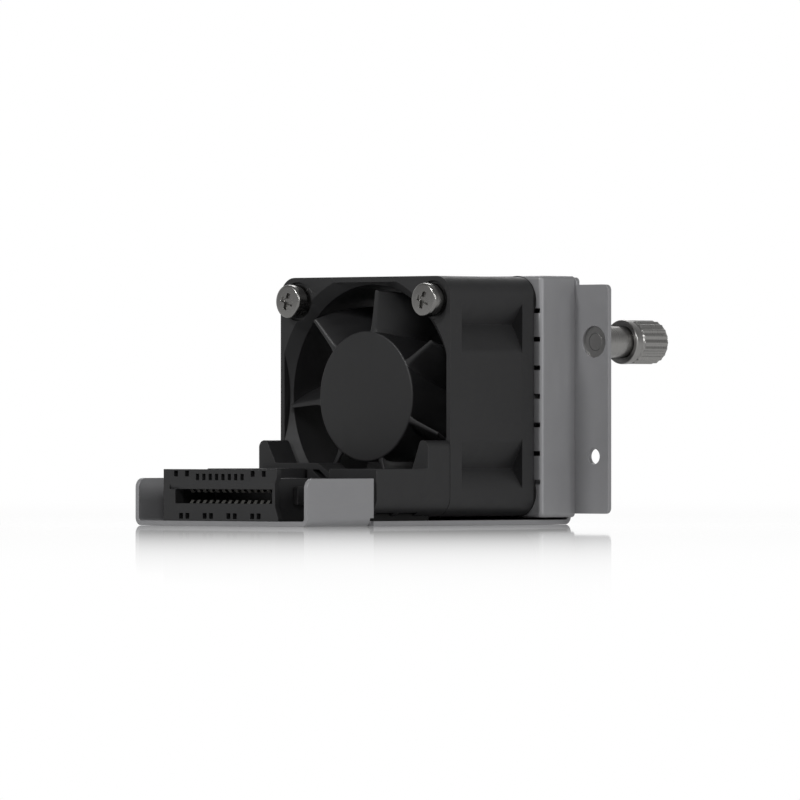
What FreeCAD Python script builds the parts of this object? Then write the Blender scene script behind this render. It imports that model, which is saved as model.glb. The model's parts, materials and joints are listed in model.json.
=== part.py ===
import FreeCAD, Part
import math
import os
import re
import Sketcher

# Hot-swap cooling fan module for a rack switch.
# Millimetres. X runs along the fan's axis from the inlet to the thumbscrew end, Z is up,
# and the origin lies on the tray's underside below the centre of the fan's inlet face.

doc = FreeCAD.newDocument("FanModule")
sheet = doc.addObject("Spreadsheet::Sheet", "Sizes")

SIZES = {
    # sheet metal tray
    "sheet": 0.8,
    "bend": 0.5,
    "tray_front": 34.0,
    "tray_half": 19.6,
    "tab_length": 16.35,
    "tab_top": 7.85,
    "tab_corner": 1.6,
    "relief": 0.9,
    "plate_near": 28.6,
    "plate_half": 21.6,
    "plate_top": 41.45,
    "plate_corner": 0.8,
    "lip_far": 23.6,
    "ear_reach": 28.95,
    "ear_low": 1.8,
    "ear_high": 40.2,
    "ear_round": 1.0,
    "ear_hole_drop": 9.6,
    "ear_hole_radius": 1.3,
    "grille_radius": 18.6,
    "hex_flat": 3.8,
    "hex_pitch": 4.5,
    # fan
    "fan_low": 1.45,
    "fan_half": 20.0,
    "fan_depth": 20.0,
    "fan_corner": 3.3,
    "flange": 2.75,
    "bore_radius": 18.7,
    "mouth_radius": 20.5,
    "mouth_depth": 1.8,
    "mouth_flat": 19.1,
    "barrel_radius": 21.2,
    "hole_pitch_half": 16.0,
    "hole_radius": 1.65,
    "spot_radius": 3.25,
    "spot_depth": 0.5,
    "pocket_start": 6.4,
    "pocket_deep": 12.0,
    "pocket_end": 15.4,
    "base_front": 17.2,
    "base_thick": 2.2,
    "base_radius": 10.6,
    "strut_low": 3.4,
    "strut_wide": 2.2,
    # impeller and motor
    "hub_front": 0.2,
    "hub_back": 15.4,
    "hub_radius": 10.95,
    "hub_wall": 0.95,
    "hub_cap": 1.2,
    "blade_tip": 18.1,
    "blade_start": 1.0,
    "blade_end": 14.6,
    "blade_thick": 0.95,
    "blade_count": 7,
    "blade_first": 133.5,
    "twist_root": 3.15,
    "twist_tip": 2.2,
    "yoke_wall": 0.6,
    "magnet_wall": 1.1,
    "magnet_front": 3.6,
    "magnet_back": 13.4,
    "shaft_radius": 1.0,
    "shaft_front": 1.0,
    "shaft_back": 16.6,
    "running_gap": 0.05,
    "bearing_radius": 2.5,
    "bearing_wide": 2.3,
    "bearing_front": 4.0,
    "bearing_rear": 13.2,
    "tube_wall": 0.6,
    "tube_front": 3.4,
    "core_front": 5.6,
    "core_back": 12.4,
    "core_radius": 8.0,
    "air_gap": 0.3,
    "tooth_wide": 2.2,
    "bobbin": 0.6,
    "board_front": 14.0,
    "board_thick": 0.8,
    "board_radius": 8.6,
    "collar_high": 1.2,
    "collar_wall": 0.8,
    "seat_floor": 0.7,
    "tube_back": 18.6,
    "boss_radius": 2.0,
    "boss_high": 1.6,
    "hub_edge": 0.35,
    "clip_front": 15.58,
    "clip_thick": 0.3,
    "clip_inner": 0.75,
    "clip_outer": 2.1,
    "clip_gap": 0.6,
    "shaft_bevel": 0.2,
    "shield_inner": 1.45,
    "shield_outer": 2.15,
    "shield_deep": 0.15,
    "spacer_inner": 1.9,
    "core_hub": 4.4,
    "shoe_thick": 0.9,
    "shoe_half_angle": 33.0,
    "bobbin_reach": 7.0,
    "coil_root": 4.55,
    "coil_high": 1.95,
    "coil_half": 2.6,
    "coil_swell": 0.7,
    "coil_round": 0.6,
    "chip_out": 7.4,
    "chip_wide": 3.0,
    "chip_tall": 0.8,
    "hall_out": 6.2,
    "hall_wide": 1.8,
    # vent frame behind the fan
    "isolator": 0.4,
    "isolator_radius": 4.6,
    "vent_half": 21.3,
    "vent_low": 1.2,
    "vent_high": 41.65,
    "vent_round": 0.7,
    "vent_mouth": 19.2,
    "slit_wide": 0.8,
    "slit_pitch": 4.78,
    "slit_count_half": 3,
    "slit_root": 18.4,
    "slit_web": 0.35,
    "slit_deep": 0.3,
    "tab_reach": 4.4,
    "tab_rise": 2.4,
    "rivet_side": 18.7,
    "rivet_rise": 17.0,
    "rivet_radius": 0.8,
    "rivet_head": 1.5,
    # fan screws
    "head_radius": 2.8,
    "head_high": 2.4,
    "head_slope": 0.8,
    "screw_radius": 1.45,
    "nut_radius": 2.75,
    "nut_high": 2.0,
    "screw_end": 24.0,
    "bulb_radius": 2.3,
    "bulb_high": 1.2,
    "rivet_tail": 0.5,
    # carrier under the fan
    "carrier_front": 17.3,
    "carrier_half": 19.95,
    "carrier_top": 9.4,
    "ear_wall": 5.2,
    "ear_crest": 14.1,
    "crest_round": 1.2,
    "u_top_half": 18.1,
    "u_low_half": 15.9,
    "u_low": 8.6,
    "arch_top": 10.3,
    "arch_high": 1.15,
    "block_inner": 8.9,
    "arch_near": 16.0,
    "arch_far": 5.9,
    "arch_foot": 3.05,
    "window_low": 7.8,
    "window_near": 15.1,
    "window_post": 8.45,
    "window_post_far": 7.2,
    "window_tip": 5.6,
    "window_tip_low": 3.8,
    "window_post_low": 5.4,
    "core_wall": 1.3,
    "core_top": 8.0,
    "carrier_floor": 1.2,
    "floor_front": 20.2,
    "peg_radius": 1.55,
    "peg_long": 2.4,
    "foot_radius": 3.0,
    "arm_front": 29.0,
    "arm_low": 3.5,
    "arm_high": 6.5,
    "arm_wide": 0.95,
    "arm_root": 1.0,
    # card edge connector
    "plug_front": 34.55,
    "plug_back": 20.4,
    "plug_half": 13.65,
    "plug_low": 0.8,
    "plug_high": 9.35,
    "waist": 12.3,
    "slot_half": 11.4,
    "slot_low": 3.7,
    "slot_high": 6.05,
    "slot_lead": 1.4,
    "slot_lip": 1.6,
    "slot_bevel": 1.0,
    "bevel_half": 11.9,
    "cavity_half": 11.7,
    "cavity_low": 2.4,
    "cavity_high": 7.4,
    "cavity_back": 24.6,
    "waist_low": 3.0,
    "waist_high": 7.0,
    "flare_low": 1.6,
    "flare_high": 8.1,
    "front_hole": 0.78,
    "front_hole_deep": 1.2,
    "hole_shift": 0.7,
    "slot_row": 7.55,
    "slot_row_high": 1.05,
    "square_row": 8.15,
    "square_hole": 0.95,
    "square_near": 7.75,
    "square_far": 10.35,
    "pair_row": 1.15,
    "pair_pitch": 5.6,
    "wire_hole": 1.1,
    "wire_hole_deep": 3.0,
    "contact_pitch": 1.5,
    "contact_wide": 0.7,
    "contact_thick": 0.25,
    "contact_first": 9.75,
    "contact_root": 2.1,
    "contact_tip": 0.6,
    "contact_straight": 3.4,
    "contact_bow": 7.0,
    "contact_long": 8.1,
    "contact_count": 14,
    # captive thumbscrew
    "thumb_out": 25.7,
    "thumb_rise": 30.6,
    "sleeve_radius": 2.65,
    "sleeve_end": 36.5,
    "sleeve_bore": 2.15,
    "sleeve_flange": 2.95,
    "recess": 0.4,
    "knob_mouth": 35.2,
    "knob_end": 43.05,
    "knob_radius": 3.72,
    "knob_bore": 3.05,
    "knob_cap": 1.2,
    "lip_radius": 2.75,
    "travel": 5.2,
    "thread_radius": 1.45,
    "press_gap": 0.02,
    "groove_front": 0.15,
    "ring_thick": 0.55,
    "ring_radius": 3.2,
    "mouth_bore": 2.85,
    "flange_thick": 0.5,
    "sleeve_floor": 1.0,
    "mouth_round": 0.35,
    "knurl_start": 37.05,
    "knurl_groove": 3.4,
    "knurl_count": 18,
    "knurl_step": 0.5,
    "flute_half": 0.22,
    "knurl_deep": 0.16,
    "screw_cap": 2.2,
    "cross_wide": 0.75,
    "cross_half": 1.35,
    "cross_deep": 0.7,
    "spring_radius": 1.8,
    "spring_wire": 0.18,
    "spring_turns": 7,
    # screws that hold the carrier to the tray from below
    "base_screw_back": 11.0,
    "base_screw_side": 5.0,
    "base_screw_hole": 1.3,
    "base_screw_head": 2.2,
    "base_screw_top": 6.0,
    "base_screw_sink": 0.5,
    "base_screw_shank": 1.05,
}

# sizes that follow from the ones above
DERIVED = {
    "fan_mid": "fan_low + fan_half",
    "plate_far": "plate_near + sheet",
    "tray_inner": "tray_half - sheet",
    "vent_front": "fan_depth + isolator",
    "vent_plate": "vent_front + sheet",
    "thumb_low": "thumb_rise - 2*ear_hole_drop",
    "yoke_radius": "hub_radius - hub_wall",
    "magnet_radius": "yoke_radius - yoke_wall",
    "magnet_inner": "magnet_radius - magnet_wall",
    "tube_radius": "bearing_radius + tube_wall",
    "core_long": "carrier_front/2 - ear_wall/2 - 3*core_wall/2",
    "slit_half": "slit_wide/2",
}

for row, (alias, number) in enumerate(SIZES.items(), 1):
    sheet.set("A%d" % row, alias)
    sheet.set("B%d" % row, repr(number))
    sheet.setAlias("B%d" % row, alias)
for row, (alias, formula) in enumerate(DERIVED.items(), len(SIZES) + 1):
    sheet.set("A%d" % row, alias)
    sheet.set("B%d" % row, "=" + formula)
    sheet.setAlias("B%d" % row, alias)
doc.recompute()


def value(text):
    """Number that a sum of products of sizes comes to."""
    total = 0.0
    for term in re.findall(r"[+-]?[^+-]+", str(text).replace(" ", "")):
        sign = -1.0 if term[0] == "-" else 1.0
        term = term.lstrip("+-")
        parts = re.split(r"([*/])", term)
        product = number_of(parts[0])
        for operator, factor in zip(parts[1::2], parts[2::2]):
            if operator == "*":
                product *= number_of(factor)
            else:
                product /= number_of(factor)
        total += sign * product
    return total


def number_of(word):
    if re.match(r"^[0-9.]+$", word):
        return float(word)
    return float(sheet.get(word))


def bound(text):
    """The same sum as an expression on the spreadsheet."""
    return re.sub(r"([a-z][a-z_]*)", r"Sizes.\1", str(text))


def tie(thing, field, text):
    thing.setExpression(field, bound(text))


PLANES = {"XY": "XY_Plane", "XZ": "XZ_Plane", "YZ": "YZ_Plane"}


def new_body(label):
    body = doc.addObject("PartDesign::Body", label)
    body.Label = label
    return body


def new_sketch(body, plane, offset="0"):
    """Sketch on one of the body's origin planes, moved along the plane's normal."""
    sketch = body.newObject("Sketcher::SketchObject", body.Name + "_sketch")
    for feature in body.Origin.OriginFeatures:
        if feature.Role == PLANES[plane]:
            sketch.AttachmentSupport = (feature, [""])
    sketch.MapMode = "FlatFace"
    if offset != "0":
        tie(sketch, "AttachmentOffset.Base.z", offset)
    return sketch


def fix(sketch, element, end, across, up):
    """Ties one point of a sketch element to its two coordinates."""
    for kind, text, axis in (("DistanceX", across, -2), ("DistanceY", up, -1)):
        if value(text) == 0.0:
            sketch.addConstraint(Sketcher.Constraint("PointOnObject", element, end, axis))
            continue
        index = sketch.addConstraint(
            Sketcher.Constraint(kind, -1, 1, element, end, value(text))
        )
        tie(sketch, "Constraints[%d]" % index, text)


def outline(sketch, corners):
    """Closed outline of straight lines through the corners."""
    first = sketch.GeometryCount
    points = [FreeCAD.Vector(value(a), value(b), 0) for a, b in corners]
    count = len(points)
    for i in range(count):
        sketch.addGeometry(Part.LineSegment(points[i], points[(i + 1) % count]), False)
    for i in range(count):
        sketch.addConstraint(
            Sketcher.Constraint("Coincident", first + i, 2, first + (i + 1) % count, 1)
        )
    for i, (across, up) in enumerate(corners):
        fix(sketch, first + i, 1, across, up)


def rectangle(sketch, left, right, low, high):
    outline(sketch, [(left, low), (right, low), (right, high), (left, high)])


def disc(sketch, radius, across="0", up="0"):
    centre = FreeCAD.Vector(value(across), value(up), 0)
    circle = Part.Circle(centre, FreeCAD.Vector(0, 0, 1), value(radius))
    element = sketch.addGeometry(circle, False)
    index = sketch.addConstraint(Sketcher.Constraint("Radius", element, value(radius)))
    tie(sketch, "Constraints[%d]" % index, radius)
    fix(sketch, element, 3, across, up)


def grow(body, sketch, length):
    """Adds material from the sketch along its plane's normal."""
    pad = body.newObject("PartDesign::Pad", body.Name + "_pad")
    pad.Profile = sketch
    tie(pad, "Length", length)
    sketch.Visibility = False
    body.Tip = pad
    doc.recompute()
    sound(body)
    return pad


def cut(body, sketch, length):
    """Removes material from the sketch along its plane's normal."""
    before = body.Shape.Volume
    pocket = body.newObject("PartDesign::Pocket", body.Name + "_pocket")
    pocket.Profile = sketch
    tie(pocket, "Length", length)
    pocket.Reversed = True
    sketch.Visibility = False
    body.Tip = pocket
    doc.recompute()
    if body.Shape.Volume >= before - 1e-6:
        raise RuntimeError("nothing was cut from " + body.Label)
    return pocket


def turned(body, corners, plane="XZ"):
    """Solid of revolution about the X axis from a profile of (x, radius) corners."""
    sketch = new_sketch(body, plane)
    outline(sketch, corners)
    turn = body.newObject("PartDesign::Revolution", body.Name + "_turn")
    turn.Profile = sketch
    turn.ReferenceAxis = (sketch, ["H_Axis"])
    turn.Angle = 360.0
    sketch.Visibility = False
    body.Tip = turn
    doc.recompute()
    return turn


def grooved(body, corners):
    """Cut turned about the X axis."""
    before = body.Shape.Volume
    sketch = new_sketch(body, "XZ")
    outline(sketch, corners)
    turn = body.newObject("PartDesign::Groove", body.Name + "_groove")
    turn.Profile = sketch
    turn.ReferenceAxis = (sketch, ["H_Axis"])
    turn.Angle = 360.0
    sketch.Visibility = False
    body.Tip = turn
    doc.recompute()
    if body.Shape.Volume >= before - 1e-6:
        raise RuntimeError("nothing was turned off " + body.Label)
    return turn


def polar(body, features, count):
    """Repeats features about the body's X axis."""
    pattern = body.newObject("PartDesign::PolarPattern", body.Name + "_ring")
    pattern.Originals = features
    for feature in body.Origin.OriginFeatures:
        if feature.Role == "X_Axis":
            pattern.Axis = (feature, [""])
    pattern.Angle = 360.0
    pattern.Occurrences = int(count)
    body.Tip = pattern
    doc.recompute()
    sound(body)
    return pattern


def edges_where(body, test):
    """Names of the straight or round edges whose middle point passes the test."""
    names = []
    for index, edge in enumerate(body.Shape.Edges, 1):
        middle = edge.valueAt((edge.FirstParameter + edge.LastParameter) / 2)
        if test(edge, middle):
            names.append("Edge%d" % index)
    if not names:
        raise RuntimeError("no edge found on " + body.Label)
    return names


def rounded(body, radius, test):
    base, names = body.Tip, edges_where(body, test)
    fillet = body.newObject("PartDesign::Fillet", body.Name + "_round")
    fillet.Base = (base, names)
    tie(fillet, "Radius", radius)
    body.Tip = fillet
    doc.recompute()
    sound(body)
    return fillet


def bevelled(body, size, test):
    base, names = body.Tip, edges_where(body, test)
    chamfer = body.newObject("PartDesign::Chamfer", body.Name + "_bevel")
    chamfer.Base = (base, names)
    tie(chamfer, "Size", size)
    body.Tip = chamfer
    doc.recompute()
    sound(body)
    return chamfer


def near(a, b, room=0.02):
    return abs(a - b) < room


def along(edge, axis):
    """True for a straight edge that runs along the axis 'x', 'y' or 'z'."""
    if not isinstance(edge.Curve, (Part.Line, Part.LineSegment)):
        return False
    start, end = edge.Vertexes[0].Point, edge.Vertexes[-1].Point
    step = end - start
    return near(abs(getattr(step.normalize(), axis)), 1.0, 1e-6)


def place(thing, x="0", y="0", z="0"):
    for letter, text in (("x", x), ("y", y), ("z", z)):
        if text != "0":
            tie(thing, "Placement.Base." + letter, text)


def sound(body):
    """Stops the build where the body's last feature has failed."""
    if "Invalid" in body.Tip.State or "Error" in body.Tip.State:
        raise RuntimeError("feature failed: " + body.Tip.Name)


NODES = []


def keep(thing):
    """Lists an object as a node of the assembly."""
    NODES.append(thing)
    return thing


# Sheet metal tray: base with two front tabs and the end plate bent up at the back.
def make_tray():
    body = new_body("tray")
    base = new_sketch(body, "XY")
    rectangle(base, "-tray_front", "plate_far", "-tray_half", "tray_half")
    grow(body, base, "sheet")
    plate = new_sketch(body, "YZ", "plate_near")
    outline(plate, [
        ("-tray_half", "0"), ("tray_half", "0"), ("tray_half", "ear_low"),
        ("lip_far", "ear_low"), ("lip_far", "ear_high"), ("plate_half", "ear_high"),
        ("plate_half", "plate_top"), ("-plate_half", "plate_top"), ("-plate_half", "ear_high"),
        ("-ear_reach", "ear_high"), ("-ear_reach", "ear_low"), ("-tray_half", "ear_low"),
    ])
    grow(body, plate, "sheet")
    for side, start in ((1, "-tray_half"), (-1, "tray_inner")):
        tab = new_sketch(body, "XZ", start)
        rectangle(tab, "-tray_front", "-tray_front + tab_length", "0", "tab_top")
        grow(body, tab, "sheet")
    # bend reliefs beside the rear end of each tab
    for low in ("-tray_half", "tray_half - sheet - bend"):
        notch = new_sketch(body, "XY")
        rectangle(
            notch, "-tray_front + tab_length - relief", "-tray_front + tab_length",
            low, low + " + sheet + bend"
        )
        cut(body, notch, "sheet + bend")
    rounded(body, "tab_corner", lambda e, m: along(e, "y") and near(m.x, -value("tray_front"))
            and near(m.z, value("tab_top")))
    rounded(body, "ear_round", lambda e, m: along(e, "x") and near(m.x, value("plate_near + sheet/2"))
            and (near(m.y, -value("ear_reach")) or near(m.y, value("lip_far"))))
    rounded(body, "plate_corner", lambda e, m: along(e, "x") and near(m.z, value("plate_top")))
    inner = value("bend")
    rounded(body, "bend", lambda e, m: near(m.z, value("sheet"), 0.01) and (
        (along(e, "x") and near(abs(m.y), value("tray_inner"), 0.01))
        or (along(e, "y") and near(m.x, value("plate_near"), 0.01))))
    rounded(body, "bend + sheet", lambda e, m: near(m.z, 0.0, 0.01) and (
        (along(e, "x") and near(abs(m.y), value("tray_half"), 0.01)
         and m.x < -value("tray_front - tab_length + relief"))
        or (along(e, "y") and near(m.x, value("plate_far"), 0.01))))
    # exhaust grille of hexagonal holes
    grille = new_sketch(body, "YZ", "plate_near - bend")
    for centre in hex_centres():
        hexagon(grille, centre)
    cut(body, grille, "sheet + 2*bend")
    holes = new_sketch(body, "YZ", "plate_near - bend")
    disc(holes, "ear_hole_radius", "-thumb_out", "thumb_low")
    disc(holes, "sleeve_radius", "-thumb_out", "thumb_rise")
    for side in ("-", ""):
        for rise in ("fan_mid + rivet_rise", "fan_mid - rivet_rise"):
            disc(holes, "rivet_radius", side + "rivet_side", rise)
    cut(body, holes, "sheet + 2*bend")
    bottom = new_sketch(body, "XY")
    for side in ("-", ""):
        disc(bottom, "base_screw_hole", "-base_screw_back", side + "base_screw_side")
    cut(body, bottom, "sheet")
    sinks = new_sketch(body, "XY")
    for side in ("-", ""):
        disc(sinks, "base_screw_head + running_gap", "-base_screw_back", side + "base_screw_side")
    cut(body, sinks, "base_screw_sink")
    return keep(body)


def hex_centres():
    """Honeycomb grid inside the grille's circle, as (across, up) from its centre."""
    pitch = value("hex_pitch")
    reach = value("grille_radius") - value("hex_flat") / math.sqrt(3)
    found = []
    for row in range(-5, 6):
        for column in range(-5, 6):
            across = pitch * (column + 0.5 * (row % 2))
            up = pitch * row * math.sqrt(3) / 2
            if math.hypot(across, up) < reach:
                found.append((column + 0.5 * (row % 2), row))
    return found


def hexagon(sketch, centre):
    """One hexagonal hole with its points up, placed by its pitch steps."""
    steps, row = centre
    middle = FreeCAD.Vector(
        value("hex_pitch") * steps,
        value("fan_mid") + value("hex_pitch") * row * math.sqrt(3) / 2, 0
    )
    radius = value("hex_flat") / math.sqrt(3)
    corners = [
        middle + FreeCAD.Vector(
            radius * math.cos(math.radians(30 + 60 * k)),
            radius * math.sin(math.radians(30 + 60 * k)), 0
        ) for k in range(6)
    ]
    first = sketch.GeometryCount
    for k in range(6):
        sketch.addGeometry(Part.LineSegment(corners[k], corners[(k + 1) % 6]), False)
    for k in range(6):
        sketch.addConstraint(
            Sketcher.Constraint("Coincident", first + k, 2, first + (k + 1) % 6, 1)
        )


# Drawn sheet metal frame between the fan and the end plate: a lipped ring of four walls.
def make_vent_frame():
    body = new_body("vent_frame")
    outer = new_sketch(body, "YZ", "vent_front")
    rectangle(outer, "-vent_half", "vent_half", "vent_low", "vent_high")
    grow(body, outer, "plate_near - vent_front")
    rounded(body, "vent_round", lambda e, m: along(e, "x"))
    rounded(body, "vent_round", lambda e, m: near(m.x, value("vent_front")))
    hollow = new_sketch(body, "YZ", "vent_plate")
    rectangle(
        hollow, "-vent_half + sheet", "vent_half - sheet", "vent_low + sheet", "vent_high - sheet"
    )
    cut(body, hollow, "plate_near - vent_plate + sheet")
    mouth = new_sketch(body, "YZ", "vent_front - sheet")
    disc(mouth, "vent_mouth", "0", "fan_mid")
    cut(body, mouth, "3*sheet")
    # lip slits of the contact fingers on the two sides
    reach = int(value("slit_count_half"))
    for step in range(-reach, reach + 1):
        slits = new_sketch(body, "YZ", "vent_front - sheet")
        middle = "fan_mid + %d*slit_pitch" % step if step >= 0 else "fan_mid - %d*slit_pitch" % -step
        for left, right in (
            ("-vent_half + slit_web", "-slit_root"), ("slit_root", "vent_half - slit_web"),
        ):
            rectangle(slits, left, right, middle + " - slit_half", middle + " + slit_half")
        cut(body, slits, "2*sheet + slit_deep")
    # tabs turned in at the back, riveted to the end plate
    for side, across in ((1, "-vent_half + sheet/2"), (-1, "vent_half - sheet/2 - tab_reach")):
        for low in ("fan_mid + rivet_rise - tab_rise", "fan_mid - rivet_rise - tab_rise"):
            tab = new_sketch(body, "YZ", "plate_near - sheet")
            rectangle(tab, across, across + " + tab_reach", low, low + " + 2*tab_rise")
            grow(body, tab, "sheet")
    holes = new_sketch(body, "YZ", "vent_front - sheet")
    for side in ("-", ""):
        for rise in ("fan_mid + hole_pitch_half", "fan_mid - hole_pitch_half"):
            disc(holes, "hole_radius", side + "hole_pitch_half", rise)
    cut(body, holes, "3*sheet")
    eyes = new_sketch(body, "YZ", "plate_near - 2*sheet")
    for side in ("-", ""):
        for rise in ("fan_mid + rivet_rise", "fan_mid - rivet_rise"):
            disc(eyes, "rivet_radius", side + "rivet_side", rise)
    cut(body, eyes, "3*sheet")
    return keep(body)


# Moulded frame of the axial fan, with its motor base and struts on the outlet side.
def make_fan_frame():
    body = new_body("fan_shell")
    block = new_sketch(body, "YZ")
    rectangle(block, "-fan_half", "fan_half", "-fan_half", "fan_half")
    grow(body, block, "fan_depth")
    rounded(body, "fan_corner", lambda e, m: along(e, "x"))
    bore = new_sketch(body, "YZ")
    disc(bore, "bore_radius")
    cut(body, bore, "fan_depth")
    pockets = [side_pocket(body, sign) for sign in (1, -1)]
    polar(body, pockets, 4)
    holes = new_sketch(body, "YZ")
    spots = new_sketch(body, "YZ")
    for across in ("-hole_pitch_half", "hole_pitch_half"):
        for up in ("-hole_pitch_half", "hole_pitch_half"):
            disc(holes, "hole_radius", across, up)
            disc(spots, "spot_radius", across, up)
    cut(body, holes, "fan_depth")
    cut(body, spots, "spot_depth")
    strut = new_sketch(body, "YZ", "base_front")
    rectangle(strut, "0", "bore_radius + air_gap", "strut_low", "strut_low + strut_wide")
    first = grow(body, strut, "base_thick")
    polar(body, [first], 4)
    base = new_sketch(body, "YZ", "base_front")
    disc(base, "base_radius")
    grow(body, base, "base_thick")
    collar = new_sketch(body, "YZ", "base_front - collar_high")
    disc(collar, "tube_radius + collar_wall")
    grow(body, collar, "collar_high")
    seat = new_sketch(body, "YZ", "base_front - collar_high")
    disc(seat, "tube_radius")
    cut(body, seat, "base_thick + collar_high - seat_floor")

    cone = doc.addObject("Part::Cone", "mouth_cone")
    tie(cone, "Radius1", "mouth_radius")
    tie(cone, "Radius2", "bore_radius")
    tie(cone, "Height", "mouth_depth")
    cone.Placement.Rotation = FreeCAD.Rotation(FreeCAD.Vector(0, 1, 0), 90)
    flats = doc.addObject("Part::Box", "mouth_flats")
    tie(flats, "Length", "mouth_depth")
    tie(flats, "Width", "2*mouth_flat")
    tie(flats, "Height", "2*mouth_flat")
    place(flats, "0", "-mouth_flat", "-mouth_flat")
    mouth = doc.addObject("Part::MultiCommon", "mouth")
    mouth.Shapes = [cone, flats]
    frame = doc.addObject("Part::Cut", "fan_frame")
    frame.Base = body
    frame.Tool = mouth
    frame.Label = "fan_frame"
    place(frame, "0", "0", "fan_mid")
    doc.recompute()
    return keep(frame)


def side_pocket(body, sign):
    """Recess between the two flanges, from the round barrel out to the screw boss."""
    sketch = new_sketch(body, "YZ", "flange")
    radius = value("barrel_radius")
    start, deep, end = value("pocket_start"), value("pocket_deep"), value("pocket_end")
    outside = value("fan_half") + 1.0
    low = FreeCAD.Vector(math.sqrt(radius ** 2 - start ** 2), sign * start, 0)
    high = FreeCAD.Vector(math.sqrt(radius ** 2 - deep ** 2), sign * deep, 0)
    far = FreeCAD.Vector(outside, sign * (end + 1.4), 0)
    side = FreeCAD.Vector(outside, sign * start, 0)
    circle = Part.Circle(FreeCAD.Vector(0, 0, 0), FreeCAD.Vector(0, 0, 1), radius)
    angles = sorted((math.atan2(low.y, low.x), math.atan2(high.y, high.x)))
    arc = sketch.addGeometry(Part.ArcOfCircle(circle, angles[0], angles[1]), False)
    low_end, high_end = (1, 2) if sign > 0 else (2, 1)
    one = sketch.addGeometry(Part.LineSegment(high, far), False)
    two = sketch.addGeometry(Part.LineSegment(far, side), False)
    three = sketch.addGeometry(Part.LineSegment(side, low), False)
    add = sketch.addConstraint
    add(Sketcher.Constraint("Coincident", arc, 3, -1, 1))
    tie(sketch, "Constraints[%d]" % add(Sketcher.Constraint("Radius", arc, radius)), "barrel_radius")
    add(Sketcher.Constraint("Coincident", arc, high_end, one, 1))
    add(Sketcher.Constraint("Coincident", one, 2, two, 1))
    add(Sketcher.Constraint("Coincident", two, 2, three, 1))
    add(Sketcher.Constraint("Coincident", three, 2, arc, low_end))
    mark = "" if sign > 0 else "-"
    for element, end_, text in (
        (arc, low_end, mark + "pocket_start"), (arc, high_end, mark + "pocket_deep"),
    ):
        index = add(Sketcher.Constraint("DistanceY", -1, 1, element, end_, value(text)))
        tie(sketch, "Constraints[%d]" % index, text)
    return cut(body, sketch, "fan_depth - 2*flange")


# Impeller: hub cup with a shaft boss, and seven twisted blades.
def make_impeller():
    hub = new_body("hub")
    turned(hub, [
        ("hub_front", "0"), ("hub_front", "hub_radius"), ("hub_back", "hub_radius"),
        ("hub_back", "yoke_radius"), ("hub_front + hub_cap", "yoke_radius"),
        ("hub_front + hub_cap", "boss_radius"), ("hub_front + hub_cap + boss_high", "boss_radius"),
        ("hub_front + hub_cap + boss_high", "shaft_radius"), ("shaft_front", "shaft_radius"),
        ("shaft_front", "0"),
    ])
    rounded(hub, "hub_edge", lambda e, m: near(m.x, value("hub_front"))
            and near(math.hypot(m.y, m.z), value("hub_radius")))
    blades = doc.addObject("Part::Feature", "blades")
    count = int(value("blade_count"))
    blades.Shape = Part.makeCompound([
        blade_shape(value("blade_first") + 360.0 * k / count) for k in range(count)
    ])
    impeller = doc.addObject("Part::MultiFuse", "impeller")
    impeller.Shapes = [hub, blades]
    impeller.Label = "impeller"
    place(impeller, "0", "0", "fan_mid")
    doc.recompute()
    return keep(impeller)


def blade_shape(angle):
    """One blade as a loft through its cross-sections along the axis.

    Angles are seen from the inlet, from the near side (-Y) upwards. The blade turns
    clockwise with depth, faster at its root than at its tip."""
    start, end = value("blade_start"), value("blade_end")
    root, tip = value("hub_radius") - 0.4, value("blade_tip")
    wires = []
    steps = 6
    for i in range(steps + 1):
        part = i / steps
        depth = start + (end - start) * part
        swell = math.sin(math.pi * min(max(part, 0.04), 0.96)) ** 0.35
        thick = value("blade_thick") * swell / math.cos(math.radians(34))
        sides = ([], [])
        for j in range(5):
            radius = root + (tip - root) * j / 4
            share = (radius - root) / (tip - root)
            rate = value("twist_root") * (1 - share) + value("twist_tip") * share
            middle = math.radians(angle - rate * (depth - start))
            half = thick * (1.1 - 0.35 * share) / 2 / radius
            for side, sign in zip(sides, (-1, 1)):
                turn = middle + sign * half
                side.append(FreeCAD.Vector(
                    depth, -radius * math.cos(turn), radius * math.sin(turn)
                ))
        edges = []
        for side in sides:
            curve = Part.BSplineCurve()
            curve.interpolate(side)
            edges.append(curve)
        wires.append(Part.Wire([
            edges[0].toShape(),
            Part.LineSegment(sides[0][-1], sides[1][-1]).toShape(),
            edges[1].toShape(),
            Part.LineSegment(sides[1][0], sides[0][0]).toShape(),
        ]))
    return Part.makeLoft(wires, True, False)


def ring(label, front, back, inner, outer):
    """Plain ring about the fan's axis."""
    body = new_body(label)
    turned(body, [(front, inner), (back, inner), (back, outer), (front, outer)])
    place(body, "0", "0", "fan_mid")
    return body


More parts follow.
